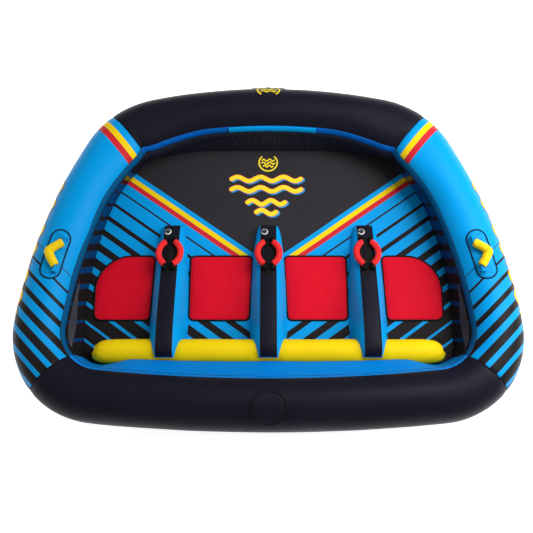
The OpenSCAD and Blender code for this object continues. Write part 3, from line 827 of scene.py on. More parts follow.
def floor_height(x, y):
    """The floor is drawn tight over the deck, with low swells between its seams."""
    swell = 0.0014 * ripple(x, y, 0.62, 3, 2)
    seat = 0.0010 * np.cos(y * 2 * math.pi / 0.31)
    return FLOOR_Z + 0.0016 + swell + seat


def floor_sheet():
    """The printed floor, pulled down to the deck at its edge."""
    y = np.linspace(EDGE_PTS[0, 1] + 0.0005, FLOOR_FRONT_Y - 0.0005, 150)
    u = np.linspace(-1, 1, 221)
    yy, uu = np.meshgrid(y, u, indexing="ij")
    xx = uu * floor_half_width(yy)
    edge = 1 - smooth(np.abs(uu), 0.975, 1.0)
    zz = FLOOR_Z + (floor_height(xx, yy) - FLOOR_Z) * edge + 0.0004
    return grid("floor_sheet", np.stack([xx, yy, zz], -1), FLOOR_PRINT, flip=True)


floor = thicken(floor_sheet(), 1.6 * MM)
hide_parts("floor_cover", "deck_bladder")
attach("floor_fabric", floor)


def lay(points, lift=0.0):
    """Puts flat points onto the floor."""
    x, y = np.moveaxis(np.asarray(points, float)[..., :2], -1, 0)
    return np.stack([x, y, floor_height(x, y) + lift], -1)


edge_loop = np.vstack([EDGE_PTS, EDGE_PTS[::-1][1:-1] * (-1, 1, 1)])
edge_loop, _ = resample(edge_loop, 0.012, closed=True)
hem = tube("floor_edge_piping", edge_loop * (0.996, 0.996, 1) + np.array([0, 0.0002, 0.0030]), 2.6 * MM,
           BINDING_BLACK, closed=True, sides=8)
attach("webbing_black", hem)


def drain_rim(name, centre, radius_x, radius_y, turn=0.0, squeeze=0.0):
    """The low raised outline of a fitting under the floor's cloth."""
    a = full_turn(64)
    x, y = radius_x * np.cos(a) * (1 + squeeze * np.sin(a)), radius_y * np.sin(a)
    c, s = math.cos(turn), math.sin(turn)
    pts = lay(np.stack([centre[0] + x * c - y * s, centre[1] + x * s + y * c], -1), 0.0002)
    return tube(name, pts, 0.0045, FLOOR_PRINT, closed=True, sides=8, flat=0.35)


attach("floor_fabric", drain_rim("drain_rim_left", (-0.302, 0.321), 0.060, 0.052),
       drain_rim("drain_rim_right", (0.195, 0.305), 0.040, 0.050, 0.3, 0.35))

# ---- Hull ----


def hull_shell():
    """The hull's skirt from the ring's lower outer seam, its rounded chine and its flat bottom."""
    s = np.arange(0, LOOP_LEN, 0.016)
    heights = np.array([136, 118, 90, 66, 45, 30, 18, 9, 3, 0, 0]) * MM
    insets = np.array([-70, -63, -49, -34, -19, -3, 13, 30, 46, 64, 84]) * MM
    ss, kk = np.meshgrid(s, np.arange(len(heights)), indexing="ij")
    pucker = 0.0012 * ripple(ss, heights[kk], 0.05, 61, 2) * smooth(heights[kk], 0.09, 0.135)
    rim = inset_points(heading_at(ss), insets[kk] + np.abs(pucker), heights[kk])
    centre = np.array([0, 0.05, 0])
    bottom = [centre + (rim[:, -1] - centre) * f for f in (0.85, 0.6, 0.35, 0.12)]
    pts = np.concatenate([rim, np.stack(bottom, 1)], 1)
    obj = grid("hull_shell", pts, HULL_BLACK, wrap_u=True, flip=True)
    bm = bmesh.new()
    bm.from_mesh(obj.data)
    bmesh.ops.holes_fill(bm, edges=[e for e in bm.edges if e.is_boundary
                                    and max(v.co.z for v in e.verts) < 0.001], sides=0)
    bm.to_mesh(obj.data)
    bm.free()
    return obj


HULL_BLACK = plain_fabric("hull_black_cloth", NAVY, rough=0.5, wear=0.3, crease=0.002, crease_scale=9.0)
hull = thicken(hull_shell(), 1.6 * MM)
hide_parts("hull_cover")
attach("cover_black", hull)
loop_s = np.arange(0, LOOP_LEN, 0.014)
for name, inset, height, material, slot in (
        ("hull_seam_piping", -0.0715, 0.1355, BINDING_BLACK, "webbing_black"),
        ("hull_chine_piping", -0.0195, 0.0445, PLAIN_BLUE, "cover_blue")):
    line = inset_points(heading_at(loop_s), np.full_like(loop_s, inset), height)
    attach(slot, tube(name, line, 3.0 * MM, material, closed=True, sides=8))

# ---- Bolster ----
DIVIDERS = (("left", -PITCH), ("centre", 0.0), ("right", PITCH))


def bolster_reach(x, around):
    """The roll is cut at a slant, with its front side shorter than its back."""
    cut = 0.5 + 0.5 * np.cos(around - math.radians(40))
    out = np.clip((np.abs(x) - 0.76) / (BOLSTER_HALF - 0.76), 0, None)
    return x - np.sign(x) * 0.016 * cut * out


def bolster():
    """The backrest roll: full between the dividers, dipped under them and gathered at its ends."""
    x = np.concatenate([np.linspace(-BOLSTER_HALF, -0.80, 26)[:-1], np.linspace(-0.80, 0.80, 201),
                        np.linspace(0.80, BOLSTER_HALF, 26)[1:]])
    xx, aa = np.meshgrid(x, full_turn(72), indexing="ij")
    end = np.clip(np.abs(xx) / (BOLSTER_HALF + 0.0005), 0, 1)
    r = (BOLSTER_R + 0.001) * np.clip(1 - end**26, 0.0, 1) ** 0.46
    top = smooth(np.sin(aa), -0.2, 0.8)
    for _, centre in DIVIDERS:
        near = np.abs(xx - centre)
        r -= 0.007 * np.exp(-(near / 0.050) ** 4) * top
        r += 0.0012 * np.exp(-((near - 0.085) / 0.022) ** 2) * top
        r -= 0.0012 * np.abs(ripple(xx, aa * 0.03, 0.030, 71, 2)) * np.exp(-((near - 0.07) / 0.04) ** 2)
    gather = smooth(np.abs(xx), 0.77, 0.87)
    slant = aa * 0.085 + (np.abs(xx) - 0.8) * 0.6
    r -= 0.0016 * gather * np.clip(np.sin(slant * 2 * math.pi / 0.055), -0.3, 1) ** 2
    r += 0.0012 * ripple(xx, aa * BOLSTER_R, 0.28, 73, 2)
    y = BOLSTER_Y + r * np.cos(aa)
    z = np.maximum(FLOOR_Z + 0.0005 + BOLSTER_R + r * np.sin(aa), FLOOR_Z + 0.001)
    pts = np.stack([bolster_reach(xx, aa), y, z], -1)
    return grid("bolster_roll", pts, BOLSTER_YELLOW, wrap_v=True, caps=True)


roll = bolster()
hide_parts("bolster_cover", "bolster_bladder")
attach("cover_yellow", roll)
for side, word in ((-1, "left"), (1, "right")):
    a = full_turn(48)
    ring = np.stack([bolster_reach(np.full_like(a, side * (BOLSTER_HALF - 0.010)), a),
                     BOLSTER_Y + 0.035 * np.cos(a), FLOOR_Z + BOLSTER_R + 0.035 * np.sin(a)], -1)
    attach("cover_yellow", tube("bolster_end_seam_" + word, ring, 2.0 * MM, BOLSTER_YELLOW, closed=True,
                                sides=8, up=(1, 0, 0)))

# ---- Dividers ----
SLOPE = math.atan2(0.088, 0.450)
STATION_Y = np.array([-532, -518, -490, -440, -350, -150, 0, 100, 150, 184, 200]) * MM
STATION_W = np.array([56, 63, 76, 90, 97, 92, 83, 72, 66, 58, 46]) * MM
TOP_HALF = 0.040
TOP_CROWN = 0.0035
PANEL_LIFT = 0.0016
DIVIDER_Z = FLOOR_Z + 0.001


def crest(y):
    """Height of a divider's straight top, which slopes down towards the front."""
    return 0.062 + (0.100 - y) * math.tan(SLOPE)


STATION_H = np.array([0.118, 0.142, 0.154, 0.154, crest(-0.35), crest(-0.15), crest(0), crest(0.1),
                      crest(0.15), 0.042, 0.024])


def eased(y, values):
    """Station values with their corners eased."""
    offsets = np.linspace(-0.010, 0.010, 9)
    return np.mean([np.interp(y + o, STATION_Y, values) for o in offsets], axis=0)


def divider_height(y):
    return eased(y, STATION_H)


def top_half(y):
    """Half width of a divider's top."""
    return np.minimum(TOP_HALF, eased(y, STATION_W) - 0.008)


def divider_body(name, x0):
    """A full cushion: its sides lean in from the floor to a crowned top."""
    y = np.concatenate([np.linspace(-0.532, -0.48, 16)[:-1], np.linspace(-0.48, 0.15, 80)[:-1],
                        np.linspace(0.15, 0.200, 16)])
    side = np.linspace(0, 1, 16)
    top = np.linspace(1, -1, 15)[1:-1]
    rows = []
    for k, yk in enumerate(y):
        h, w = float(divider_height(yk)), float(eased(yk, STATION_W))
        t = float(top_half(yk))
        bulge = 0.009 * math.sin(math.pi * min(1, h / 0.15))
        near_ends = smooth(abs(yk + 0.17), 0.22, 0.36)
        crease = 0.0014 * ripple(np.full_like(side, yk), side * h, 0.045, 83, 2) * near_ends
        full = 1.25 + 1.5 * float(smooth(-yk, 0.34, 0.44))
        sx = w + (t - w) * side ** full + (bulge + crease) * np.sin(math.pi * side)
        sz = h * (side - 0.05 * np.sin(2 * math.pi * side))
        crown = TOP_CROWN * (1 - top**2)
        right = np.stack([sx, sz], -1)
        left = right[::-1] * (-1, 1)
        middle = np.stack([t * top, h + crown], -1)
        ring = np.vstack([right, middle, left])
        rows.append(np.stack([x0 + ring[:, 0], np.full(len(ring), yk), DIVIDER_Z + ring[:, 1]], -1))
    return grid(name, np.array(rows), PLAIN_BLUE, wrap_v=True, caps=True, flip=True)


def panel_height(y, u):
    """Height of the top panel at a Y, and at u from -1 to 1 across it."""
    return DIVIDER_Z + divider_height(y) + TOP_CROWN * (1 - u**2) + PANEL_LIFT


def divider_panel(name, x0):
    """The black top panel, from the rear facet down over the nose."""
    y = np.concatenate([np.linspace(-0.5325, -0.47, 14)[:-1], np.linspace(-0.47, 0.14, 60)[:-1],
                        np.linspace(0.14, 0.1995, 14)])
    u = np.linspace(-1, 1, 13)
    yy, uu = np.meshgrid(y, u, indexing="ij")
    z = panel_height(yy, uu) + 0.0005 * ripple(yy, uu * TOP_HALF, 0.06, 89, 2)
    return thicken(grid(name, np.stack([x0 + uu * top_half(yy), yy, z], -1), RING_BLACK, flip=True), 1.2 * MM)


def panel_edge(x0, side):
    y = np.linspace(-0.531, 0.198, 110)
    return np.stack([x0 + side * top_half(y), y, DIVIDER_Z + divider_height(y) + 0.0012], -1)


def cross_seam(name, x0, y0):
    """Piping across a divider's top."""
    u = np.linspace(-1, 1, 15)
    y = np.full_like(u, y0)
    line = np.stack([x0 + u * TOP_HALF, y, panel_height(y, u)], -1)
    return tube(name, line, 1.3 * MM, BINDING_BLACK, sides=8)


PIPING_BROWN = webbing_cloth("brown_piping", (0.020, 0.010, 0.009, 1), pitch=0.002)
for name, x0 in DIVIDERS:
    body = divider_body("divider_" + name, x0)
    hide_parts(name + "_divider_cover", name + "_divider_bladder")
    attach("cover_blue", body)
    panel = divider_panel("divider_panel_" + name, x0)
    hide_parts(name + "_divider_top")
    attach("cover_black", panel)
    pipes = [tube(f"divider_piping_{name}_{side}", panel_edge(x0, k), 2.2 * MM, PIPING_BROWN, sides=8)
             for side, k in (("a", -1), ("b", 1))]
    pipes += [cross_seam(f"divider_seam_{name}_rear", x0, -0.482),
              cross_seam(f"divider_seam_{name}_front", x0, 0.140)]
    attach("webbing_black", *pipes)
    half = eased(STATION_Y, STATION_W)
    base = raised(np.stack([np.concatenate([x0 + half, x0 - half[::-1]]),
                            np.concatenate([STATION_Y, STATION_Y[::-1]])], -1), FLOOR_Z + 0.0035)
    base, _ = resample(base[3:-3], 0.010)
    attach("cover_blue", tube(f"divider_base_piping_{name}", base, 2.2 * MM, PLAIN_BLUE, sides=8))

# ---- Seat pads ----


def rounded_outline(corners, step=0.006):
    """A closed outline through corners given as x, y, radius, in order round the shape."""
    pts = []
    n = len(corners)
    for k in range(n):
        p, q, r = (np.array(corners[(k + d) % n][:2]) for d in (-1, 0, 1))
        radius = corners[k][2]
        u, v = (p - q) / np.linalg.norm(p - q), (r - q) / np.linalg.norm(r - q)
        half = math.acos(np.clip(u @ v, -1, 1)) / 2
        reach = radius / math.tan(half)
        centre = q + (u + v) / np.linalg.norm(u + v) * radius / math.sin(half)
        a0, a1 = (q + u * reach) - centre, (q + v * reach) - centre
        start, end = math.atan2(a0[1], a0[0]), math.atan2(a1[1], a1[0])
        turn = (end - start + math.pi) % (2 * math.pi) - math.pi
        t = start + turn * np.linspace(0, 1, max(4, int(radius * abs(turn) / step)))
        pts.append(centre + radius * np.stack([np.cos(t), np.sin(t)], -1))
    pts = np.vstack(pts)
    out, along = resample(raised(pts, 0.0), step, closed=True)
    return out[:, :2], along


def cushion(name, outline, along, base, height, material, seed, mapping=None, crown=6.0):
    """A padded sheet: crowned in the middle and pulled down to its edge all round."""
    centre = outline.mean(0)
    rho = np.concatenate([np.linspace(0.04, 0.8, 14), np.linspace(0.84, 1.0, 10)])
    top, flow = [], []
    for f in rho:
        p = centre + (outline - centre) * f
        reach = np.linalg.norm(outline - p, axis=1)
        h = height * (1 - f**crown * 0.62) + 0.0012 * ripple(p[:, 0], p[:, 1], 0.13, seed, 2) * (1 - f**8)
        h = np.where(reach < 0.016, h - 0.0012 * np.exp(-((reach - 0.0085) / 0.003) ** 2), h)
        top.append(np.column_stack([p, base + h]))
        flow.append(np.column_stack([along, reach, np.zeros(len(p))]))
    rows = np.array(top + [raised(outline, base)])
    flow.append(flow[-1])
    if mapping:
        rows = mapping(rows)
    return grid(name, rows, material, np.array(flow), wrap_v=True, caps=True)


PAD_HEIGHT = 0.0115


def seat_pad(name, node, corners, seed):
    """A seat pad with its black binding."""
    outline, along = rounded_outline(corners)
    obj = cushion(name, outline, along, FLOOR_Z + 0.0012, PAD_HEIGHT, PAD_CLOTH, seed)
    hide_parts(node)
    attach("pad_red", obj)
    rim = raised(outline, FLOOR_Z + 0.0052)
    attach("webbing_black", tube(name + "_binding", rim, 5.0 * MM, BINDING_BLACK, closed=True, sides=12,
                                 flat=0.92))


PAD_FRONT, PAD_REAR = 0.033, -0.319
PAD_CORNER = 0.026
# Corners on the right as x, y and radius
PADS = {"inner": ((0.100, PAD_REAR, PAD_CORNER), (0.414, PAD_REAR, PAD_CORNER),
                  (0.416, PAD_FRONT, PAD_CORNER), (0.083, PAD_FRONT, PAD_CORNER)),
        "outer": ((0.618, PAD_REAR, PAD_CORNER), (0.910, PAD_REAR, 0.040),
                  (0.918, PAD_FRONT, 0.185), (0.604, PAD_FRONT, PAD_CORNER))}
for side, word in ((-1, "left"), (1, "right")):
    for seat, seed in (("inner", 101), ("outer", 103)):
        corners = [(side * x, y, radius) for x, y, radius in PADS[seat]]
        seat_pad(f"seat_pad_{seat}_{word}", f"{word}_{seat}_pad", corners[::side], seed)

# ---- Divider grips and their straps ----
GRIP_HALF = 0.068
GRIP_R = 0.017
SIDE_GRIP_HALF = 0.062
SIDE_GRIP_R = 0.0225
EAR_Y = 0.089
SIDE_EAR_Y = 0.088
SIDE_GRIP_X = -0.026    # a side grip's hinge line, from the patch's middle
SIDE_GRIP_Z = 0.155     # and from the ring's centre line
SIDE_LOOP_Z = 0.1318    # the patch's top, where the side loops are sewn
GRIP_OUT = 0.022        # from a divider's middle to a grip's hinge line
GRIP_LIFT = 0.0213      # of the hinge line over the divider's top
SEWN_Z = 0.0035         # height of a loop's sewn ends
THREAD_BLACK = webbing_cloth("black_thread", (0.004, 0.004, 0.005, 1), pitch=0.001)


def crest_matrix(x):
    """Frame on a divider's top at the grips, tilted with its slope."""
    z = FLOOR_Z + 0.0005 + crest(GRIP_Y) + 0.0024
    return Matrix.Translation((x, GRIP_Y, z)) @ Matrix.Rotation(-SLOPE, 4, "X")


def shift(x, y, z):
    return Matrix.Translation((x, y, z))


def apply_matrix(matrix, pts):
    m = np.array(matrix)
    return np.asarray(pts) @ m[:3, :3].T + m[:3, 3]


def stitches(name, line, length=0.0042, gap=0.0022, radius=0.0006, material=THREAD_BLACK, up=(0, 0, 1)):
    """Separate raised stitches along a line of points."""
    pts, along = resample(line, 0.0007)
    pieces, start = [], 0.0
    while start + length < along[-1]:
        part = pts[(along >= start) & (along <= start + length)]
        if len(part) > 2:
            part = part[::max(1, len(part) // 3)]
            pieces.append(tube(name + "_s", part, radius, material, sides=5, up=up))
        start += length + gap
    return join(name, pieces)


def strap_plate(name, matrix, width, length, thick, crown, material, seed, corner=0.006):
    """A flat strap with softened corners that follows a crowned top."""
    uu, vv = np.meshgrid(np.linspace(-1, 1, 17), np.linspace(-1, 1, 49), indexing="ij")
    y = vv * length / 2
    from_end = np.maximum(0, np.abs(y) - (length / 2 - corner))
    narrow = corner - np.sqrt(np.maximum(0, corner**2 - from_end**2))
    x = uu * (width / 2 - narrow)
    z = -crown * uu**2 + 0.0005 * ripple(x, y, 0.05, seed, 2) + thick
    return thicken(grid(name, apply_matrix(matrix, np.stack([x, y, z], -1)), material), thick)


def webbing_loop(name, matrix, centre_x, y, top, foot, cloth, width=0.013, inner=0.0078, thick=0.0024):
    """Webbing folded round a grip's stub and sewn down on both sides of it."""
    r = inner + thick / 2
    a = np.linspace(-0.35 * math.pi, 1.35 * math.pi, 25)
    bend = top + r * np.sin(a)
    climb = np.linspace(0, 1, 7)[:-1]
    out = foot / 2 * (1 - 0.62 * climb**2)
    rise = climb**1.6
    x = np.concatenate([centre_x + out, centre_x + r * np.cos(a), centre_x - out[::-1]])
    z = np.concatenate([SEWN_Z + (bend[0] - SEWN_Z) * rise, bend, SEWN_Z + (bend[-1] - SEWN_Z) * rise[::-1]])
    across = y + np.linspace(-width / 2, width / 2, 5)
    pts = apply_matrix(matrix, np.stack(np.broadcast_arrays(x[:, None], across, z[:, None]), -1))
    return thicken(grid(name, pts, cloth), thick, 0.0)


def padded_grip(name, matrix, half, radius, out, ear, cloth, web, seed, angular=0.0):
    """A sleeve of padding on a bowed webbing, with its cut ends, puckers and the webbing inside."""
    r = (half**2 + out**2) / (2 * out)
    turn = math.asin(half / r) if out < half else math.pi - math.asin(half / r)
    t = np.linspace(-1, 1, 61)
    arc = np.stack([out - r + r * np.cos(t * turn), r * np.sin(t * turn), np.zeros_like(t)], -1)
    bent = np.stack([out * (1 - np.abs(t)) * 0.98, half * t, np.zeros_like(t)], -1)
    line = arc * (1 - angular) + bent * angular
    if angular:
        for _ in range(6):
            line[1:-1] = (line[:-2] + 2 * line[1:-1] + line[2:]) / 4
    sleeve = line[1:-1]
    ahead = np.gradient(sleeve, axis=0)
    ahead /= np.linalg.norm(ahead, axis=1)[:, None]
    side = np.cross(ahead, (0, 0, 1))
    a = full_turn(28)
    tt = np.linspace(-1, 1, len(sleeve))
    body = radius * (1 - 0.08 * np.abs(tt) ** 10)
    rings = []
    for k in range(len(sleeve)):
        inner = np.clip(-np.cos(a), 0, 1)
        pucker = 0.0016 * inner * (0.5 + 0.5 * math.sin(tt[k] * 26 + 3 * math.sin(tt[k] * 5 + seed)))
        dent = 0.0012 * ripple(np.full_like(a, tt[k] * 0.07), a * radius, 0.035, seed, 2)
        rad = body[k] - pucker + dent - 0.0008
        rings.append(sleeve[k] + side[k] * (np.cos(a) * rad)[:, None]
                     + np.array([0, 0, 1.0]) * (np.sin(a) * rad * 0.95)[:, None])
    lips = []
    for ring, direction in ((rings[0], -ahead[0]), (rings[-1], ahead[-1])):
        centre = ring.mean(0)
        lips.append([centre + (ring - centre) * f + direction * d
                     for f, d in ((0.97, 0.0014), (0.86, 0.0022), (0.66, 0.0006))])
    rings = apply_matrix(matrix, np.array(lips[0][::-1] + rings + lips[1]))
    padding = grid(name + "_sleeve", rings, cloth, wrap_v=True, caps=True)
    seam = sleeve + side * (-radius * 0.86) + np.array([0, 0, radius * 0.28])
    seam = tube(name + "_seam", apply_matrix(matrix, seam[2:-2]), 0.0009, cloth, sides=6)
    webs = []
    for end, near in ((-1, line[:8]), (1, line[::-1][:8])):
        last = [[near[0][0], end * (ear + 0.006), 0.0], [near[0][0], end * ear, 0.0]]
        webs.append(tube(name + "_core_end", apply_matrix(matrix, np.vstack([last, near])), 0.0066,
                         web, sides=14))
    return padding, seam, join(name + "_core", webs)


def mount_grip(body, parts, slot, web_slot, matrix, centre_x, ear, top, foot, web):
    """Puts a grip on its body, and its two webbing loops on the tube."""
    padding, seam, core = parts
    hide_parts(body)
    attach(slot, padding, seam, body=body)
    attach(web_slot, core, body=body)
    for end, letter in ((-1, "a"), (1, "b")):
        attach(web_slot, webbing_loop(f"{body}_loop_{letter}", matrix, centre_x, end * ear, top, foot, web))


def rectangle(half_x, half_y, z):
    """The closed outline of a rectangle at one height."""
    return looped(raised(np.array([(-1, -1), (1, -1), (1, 1), (-1, 1)]) * (half_x, half_y), z))


grip_number = 0
for word, x0 in DIVIDERS:
    base = crest_matrix(x0)
    strap = strap_plate("grip_base_" + word, base, 0.076, 0.208, 0.0030, 0.0022, WEBBING_BLACK, 151)
    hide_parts(word + "_grip_strap")
    tab = strap_plate("grip_tab_" + word, base @ shift(0, -0.1140, 0.0016), 0.030, 0.040, 0.0030, 0.0008,
                      WEBBING_BLACK, 157, corner=0.004)
    spine = strap_plate("grip_spine_" + word, base @ shift(0, 0, 0.0028), 0.026, 0.178, 0.0026, 0.0006,
                        WEBBING_BLACK, 161, corner=0.004)
    sewn = []
    for end in (-1, 1):
        box = apply_matrix(base @ shift(0, end * 0.072, 0.0058), rectangle(0.0105, 0.0105, 0))
        for line in (box, box[:3:2], box[1:4:2]):
            sewn.append(stitches("box", line, radius=0.0007))
    sewn.append(stitches("edge", apply_matrix(base, rectangle(0.035, 0.100, 0.0026)), radius=0.0006))
    attach("webbing_black", strap, tab, spine, join("grip_base_stitches_" + word, sewn))
    for side in (-1, 1):
        grip_number += 1
        turned = base @ shift(side * GRIP_OUT, 0, GRIP_LIFT) @ Matrix.Diagonal((side, 1, 1, 1))
        body = f"grip_{grip_number}"
        parts = padded_grip(body, turned, GRIP_HALF, GRIP_R, 0.035, EAR_Y, RED_GRIP, WEBBING_BLACK,
                            170 + grip_number)
        if side < 0:
            for piece in parts:
                piece.data.flip_normals()
        mount_grip(body, parts, "grip_red", "webbing_black", base, side * GRIP_OUT, EAR_Y, GRIP_LIFT, 0.026,
                   WEBBING_BLACK)

# ---- Side patches and grips ----


def on_tube(s, lean_deg, r):
    """Points on the ring tube: distance along the line, lean outward from the top, radius."""
    lean = np.radians(np.asarray(lean_deg, float))
    s = np.asarray(s, float)
    return inset_points(heading_at(s), -r * np.sin(lean), RING_Z + r * np.cos(lean))


def wrapped_on_tube(s0, lean0):
    """Maps local x, y, height points to the tube round a spot on it."""
    def mapping(points):
        x, y, height = np.moveaxis(np.asarray(points, float), -1, 0)
        return on_tube(s0 + y, lean0 + np.degrees(x / TUBE_R), TUBE_R + height)
    return mapping


def stadium_outline(radius, half, step=0.006):
    """A closed outline of two half circles joined by straight sides."""
    a = np.linspace(0, math.pi, 40)
    top = np.stack([radius * np.cos(a), half + radius * np.sin(a)], -1)
    pts = np.vstack([top, -top])
    out, along = resample(raised(pts, 0.0), step, closed=True)
    return out[:, :2], along


def tube_normals(pts, s_values):
    """Directions from the ring's centre line to points near the tube."""
    p, _ = line_point(heading_at(s_values))
    d = pts - raised(p, RING_Z)
    return d / np.linalg.norm(d, axis=1)[:, None]


for side, word in ((1, "right"), (-1, "left")):
    heading = SIDE_HEADING if side > 0 else 360 - SIDE_HEADING
    s0 = float(distance_at(heading))
    mapping = wrapped_on_tube(s0, PATCH_LEAN)
    outline, along = stadium_outline(0.049, 0.080)
    patch = cushion("side_patch_" + word, outline, along, 0.0012, 0.0030, PLAIN_BLUE, 191, mapping, 14.0)
    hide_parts(word + "_side_patch")
    attach("cover_blue", patch)
    rim = mapping(raised(outline, 0.0030))
    binding = tube("side_patch_binding_" + word, rim, 0.0036, BINDING_BLACK, closed=True, sides=10,
                   up=tube_normals(rim, s0 + outline[:, 1]))
    sewn = []
    for end in (-1, 1):
        box = rectangle(0.021, 0.021 * 0.8, 0.0048) + (0, end * 0.088, 0)
        for corners in (box, box[:3:2], box[1:4:2]):
            line, _ = resample(corners, 0.004)
            sewn.append(stitches("box", mapping(line), radius=0.0008, up=(side * 0.1, 0, 1)))
    inner_row = raised(outline * (0.86, 0.945), 0.0046)
    sewn.append(stitches("ring", mapping(looped(inner_row)), radius=0.0006))
    attach("webbing_black", binding, join("side_patch_stitches_" + word, sewn))
    here = on_ring(heading, PATCH_LEAN)
    body = word + "_side_grip"
    parts = padded_grip(body, here @ shift(SIDE_GRIP_X, 0, SIDE_GRIP_Z), SIDE_GRIP_HALF, SIDE_GRIP_R, 0.056,
                        SIDE_EAR_Y, YELLOW_GRIP, PLAIN_BLUE, 200 + side, 0.85)
    mount_grip(body, parts, "grip_yellow", "cover_blue", here @ shift(0, 0, SIDE_LOOP_Z), SIDE_GRIP_X,
               SIDE_EAR_Y, SIDE_GRIP_Z - SIDE_LOOP_Z, 0.030, PLAIN_BLUE)

# ---- Inflation valve on the rear tube ----
valve_map = wrapped_on_tube(0.0, FLAP_LEAN)


def circle(radius, height, count=96):
    a = full_turn(count)
    return raised(np.stack([radius * np.cos(a), radius * np.sin(a)], -1), height)


def lathe_on_tube(name, rings, material):
    """Rings of radius and height mapped round the valve."""
    rows = np.array([circle(r, h) for r, h in rings])
    return grid(name, valve_map(rows), material, wrap_v=True)


collar = lathe_on_tube("valve_collar_ring", [(0.0715, 0.0005), (0.0725, 0.0036), (0.076, 0.0048),
                                             (0.081, 0.0046), (0.0845, 0.0030), (0.0875, 0.0002)],
                       BINDING_BLACK)
thicken(collar, 1.0 * MM)
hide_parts("valve_collar")
well = lathe_on_tube("valve_well", [(0.0365, -0.0012), (0.034, -0.004), (0.031, -0.0095), (0.027, -0.0115),
                                    (0.0195, -0.0112)], VALVE_WHITE)
thicken(well, 1.2 * MM)
attach("bladder_vinyl", well)
hem_ring = lathe_on_tube("valve_hole_hem", [(0.0352, -0.0010), (0.0350, 0.0012), (0.0375, 0.0020),
                                            (0.0405, 0.0014), (0.0415, 0.0001)], BINDING_BLACK)
attach("webbing_black", collar, hem_ring)
flap_outline = circle(0.081, 0)[:, :2]
flap_along = np.linspace(0, 2 * math.pi * 0.081, len(flap_outline))
flap = cushion("valve_flap_disc", flap_outline, flap_along, 0.0056, 0.0030, RING_BLACK, 211, valve_map, 16.0)
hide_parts("valve_flap")
attach("cover_black", flap, body="valve_flap")
rim = valve_map(circle(0.0812, 0.0068))
flap_rim = tube("valve_flap_binding", rim, 0.0033, BINDING_BLACK, closed=True, sides=10,
                up=tube_normals(rim, circle(0.0812, 0)[:, 1]))
flap_sewn = stitches("valve_flap_stitches", valve_map(looped(circle(0.0735, 0.0088))), radius=0.0006)
attach("webbing_black", flap_rim, flap_sewn, body="valve_flap")

# Soft seats between each divider's front cap and its valve.
for word, x0 in DIVIDERS:
    at = shift(x0 - 0.020, 0.152, FLOOR_Z + 0.0525) @ Matrix.Rotation(math.radians(-14), 4, "X")
    rows = np.array([circle(r, h, 48) for r, h in ((0.0225, -0.0065), (0.0222, -0.001), (0.0205, 0.0022),
                                                   (0.0190, 0.0040), (0.0175, 0.0044), (0.0120, 0.0044))])
    attach("plug_black", grid("divider_valve_seat_" + word, apply_matrix(at, rows), PLUG_BLACK, wrap_v=True))

# ---- Tow patch on the nose ----
tow_outline, tow_along = rounded_outline([(-0.058, -0.089, 0.014), (0.058, -0.089, 0.014),
                                          (0.058, 0.089, 0.014), (-0.058, 0.089, 0.014)])
tow_map = wrapped_on_tube(HALF_LEN, 90.0)
tow = cushion("tow_patch_cloth", tow_outline, tow_along, 0.0015, 0.0052, WEBBING_BLACK, 223, tow_map, 18.0)
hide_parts("tow_patch")
rim = tow_map(raised(tow_outline, 0.0036))
tow_rim = tube("tow_patch_binding", rim, 0.0036, BINDING_BLACK, closed=True, sides=10,
               up=tube_normals(rim, HALF_LEN + tow_outline[:, 1]))
row = looped(raised(tow_outline * (0.88, 0.92), 0.0064))
tow_sewn = stitches("tow_patch_stitches", tow_map(row), radius=0.0008, material=THREAD_BLUE)
attach("webbing_black", tow, tow_rim, tow_sewn)

# ---- Finishes of the CAD parts that stay ----
for node, material in (("main_valve", VALVE_WHITE), ("main_valve_cap", PLUG_BLACK),
                       ("divider_valves", VALVE_WHITE), ("divider_plug_1", PLUG_BLACK),
                       ("divider_plug_2", PLUG_BLACK), ("divider_plug_3", PLUG_BLACK),
                       ("tow_bracket", ALUMINIUM), ("tow_pin", STEEL), ("tow_hook", ALUMINIUM)):
    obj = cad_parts[node]
    obj.data.materials.clear()
    obj.data.materials.append(material)
    mod = obj.modifiers.new("edges", "BEVEL")
    mod.width = 0.0007
    mod.segments = 2
    mod.limit_method = "ANGLE"
    mod.angle_limit = math.radians(35)

# ---- Printed motif on the floor: a ringed wave and rows of waves ----


def stroke(name, line, half_width, material, lift, mapping):
    """A round-ended stroke along a line, laid on a surface."""
    pts, along = resample(raised(line, 0.0), 0.004)
    p = pts[:, :2]
    d = np.gradient(p, axis=0)
    d /= np.linalg.norm(d, axis=1)[:, None]
    steps = np.array([1.0, 0.96, 0.86, 0.68, 0.45, 0.2])
    cap = half_width * steps
    start = p[0] - d[0] * cap[:, None]
    end = p[-1] + d[-1] * cap[::-1][:, None]
    p = np.vstack([start, p, end])
    d = np.vstack([np.repeat(d[:1], len(steps), 0), d, np.repeat(d[-1:], len(steps), 0)])
    rounded = np.sqrt(np.maximum(0.0004, 1 - steps**2))
    w = half_width * np.concatenate([rounded, np.ones(len(along)), rounded[::-1]])
    n = np.stack([-d[:, 1], d[:, 0]], -1)
    u = np.linspace(-1, 1, 7)
    flat = p[:, None] + n[:, None] * (w[:, None] * u[None])[..., None]
    return grid(name, mapping(flat, lift), material, flip=True)


PRINT_LIFT = 0.0026


def on_floor(points, lift):
    return lay(points, lift + 0.0004)


def wave_line(x0, x1, y, height, waves):
    x = np.linspace(x0, x1, 120)
    return np.stack([x, y + height * np.sin((x - x0) * 2 * math.pi / (x1 - x0) * waves)], -1)


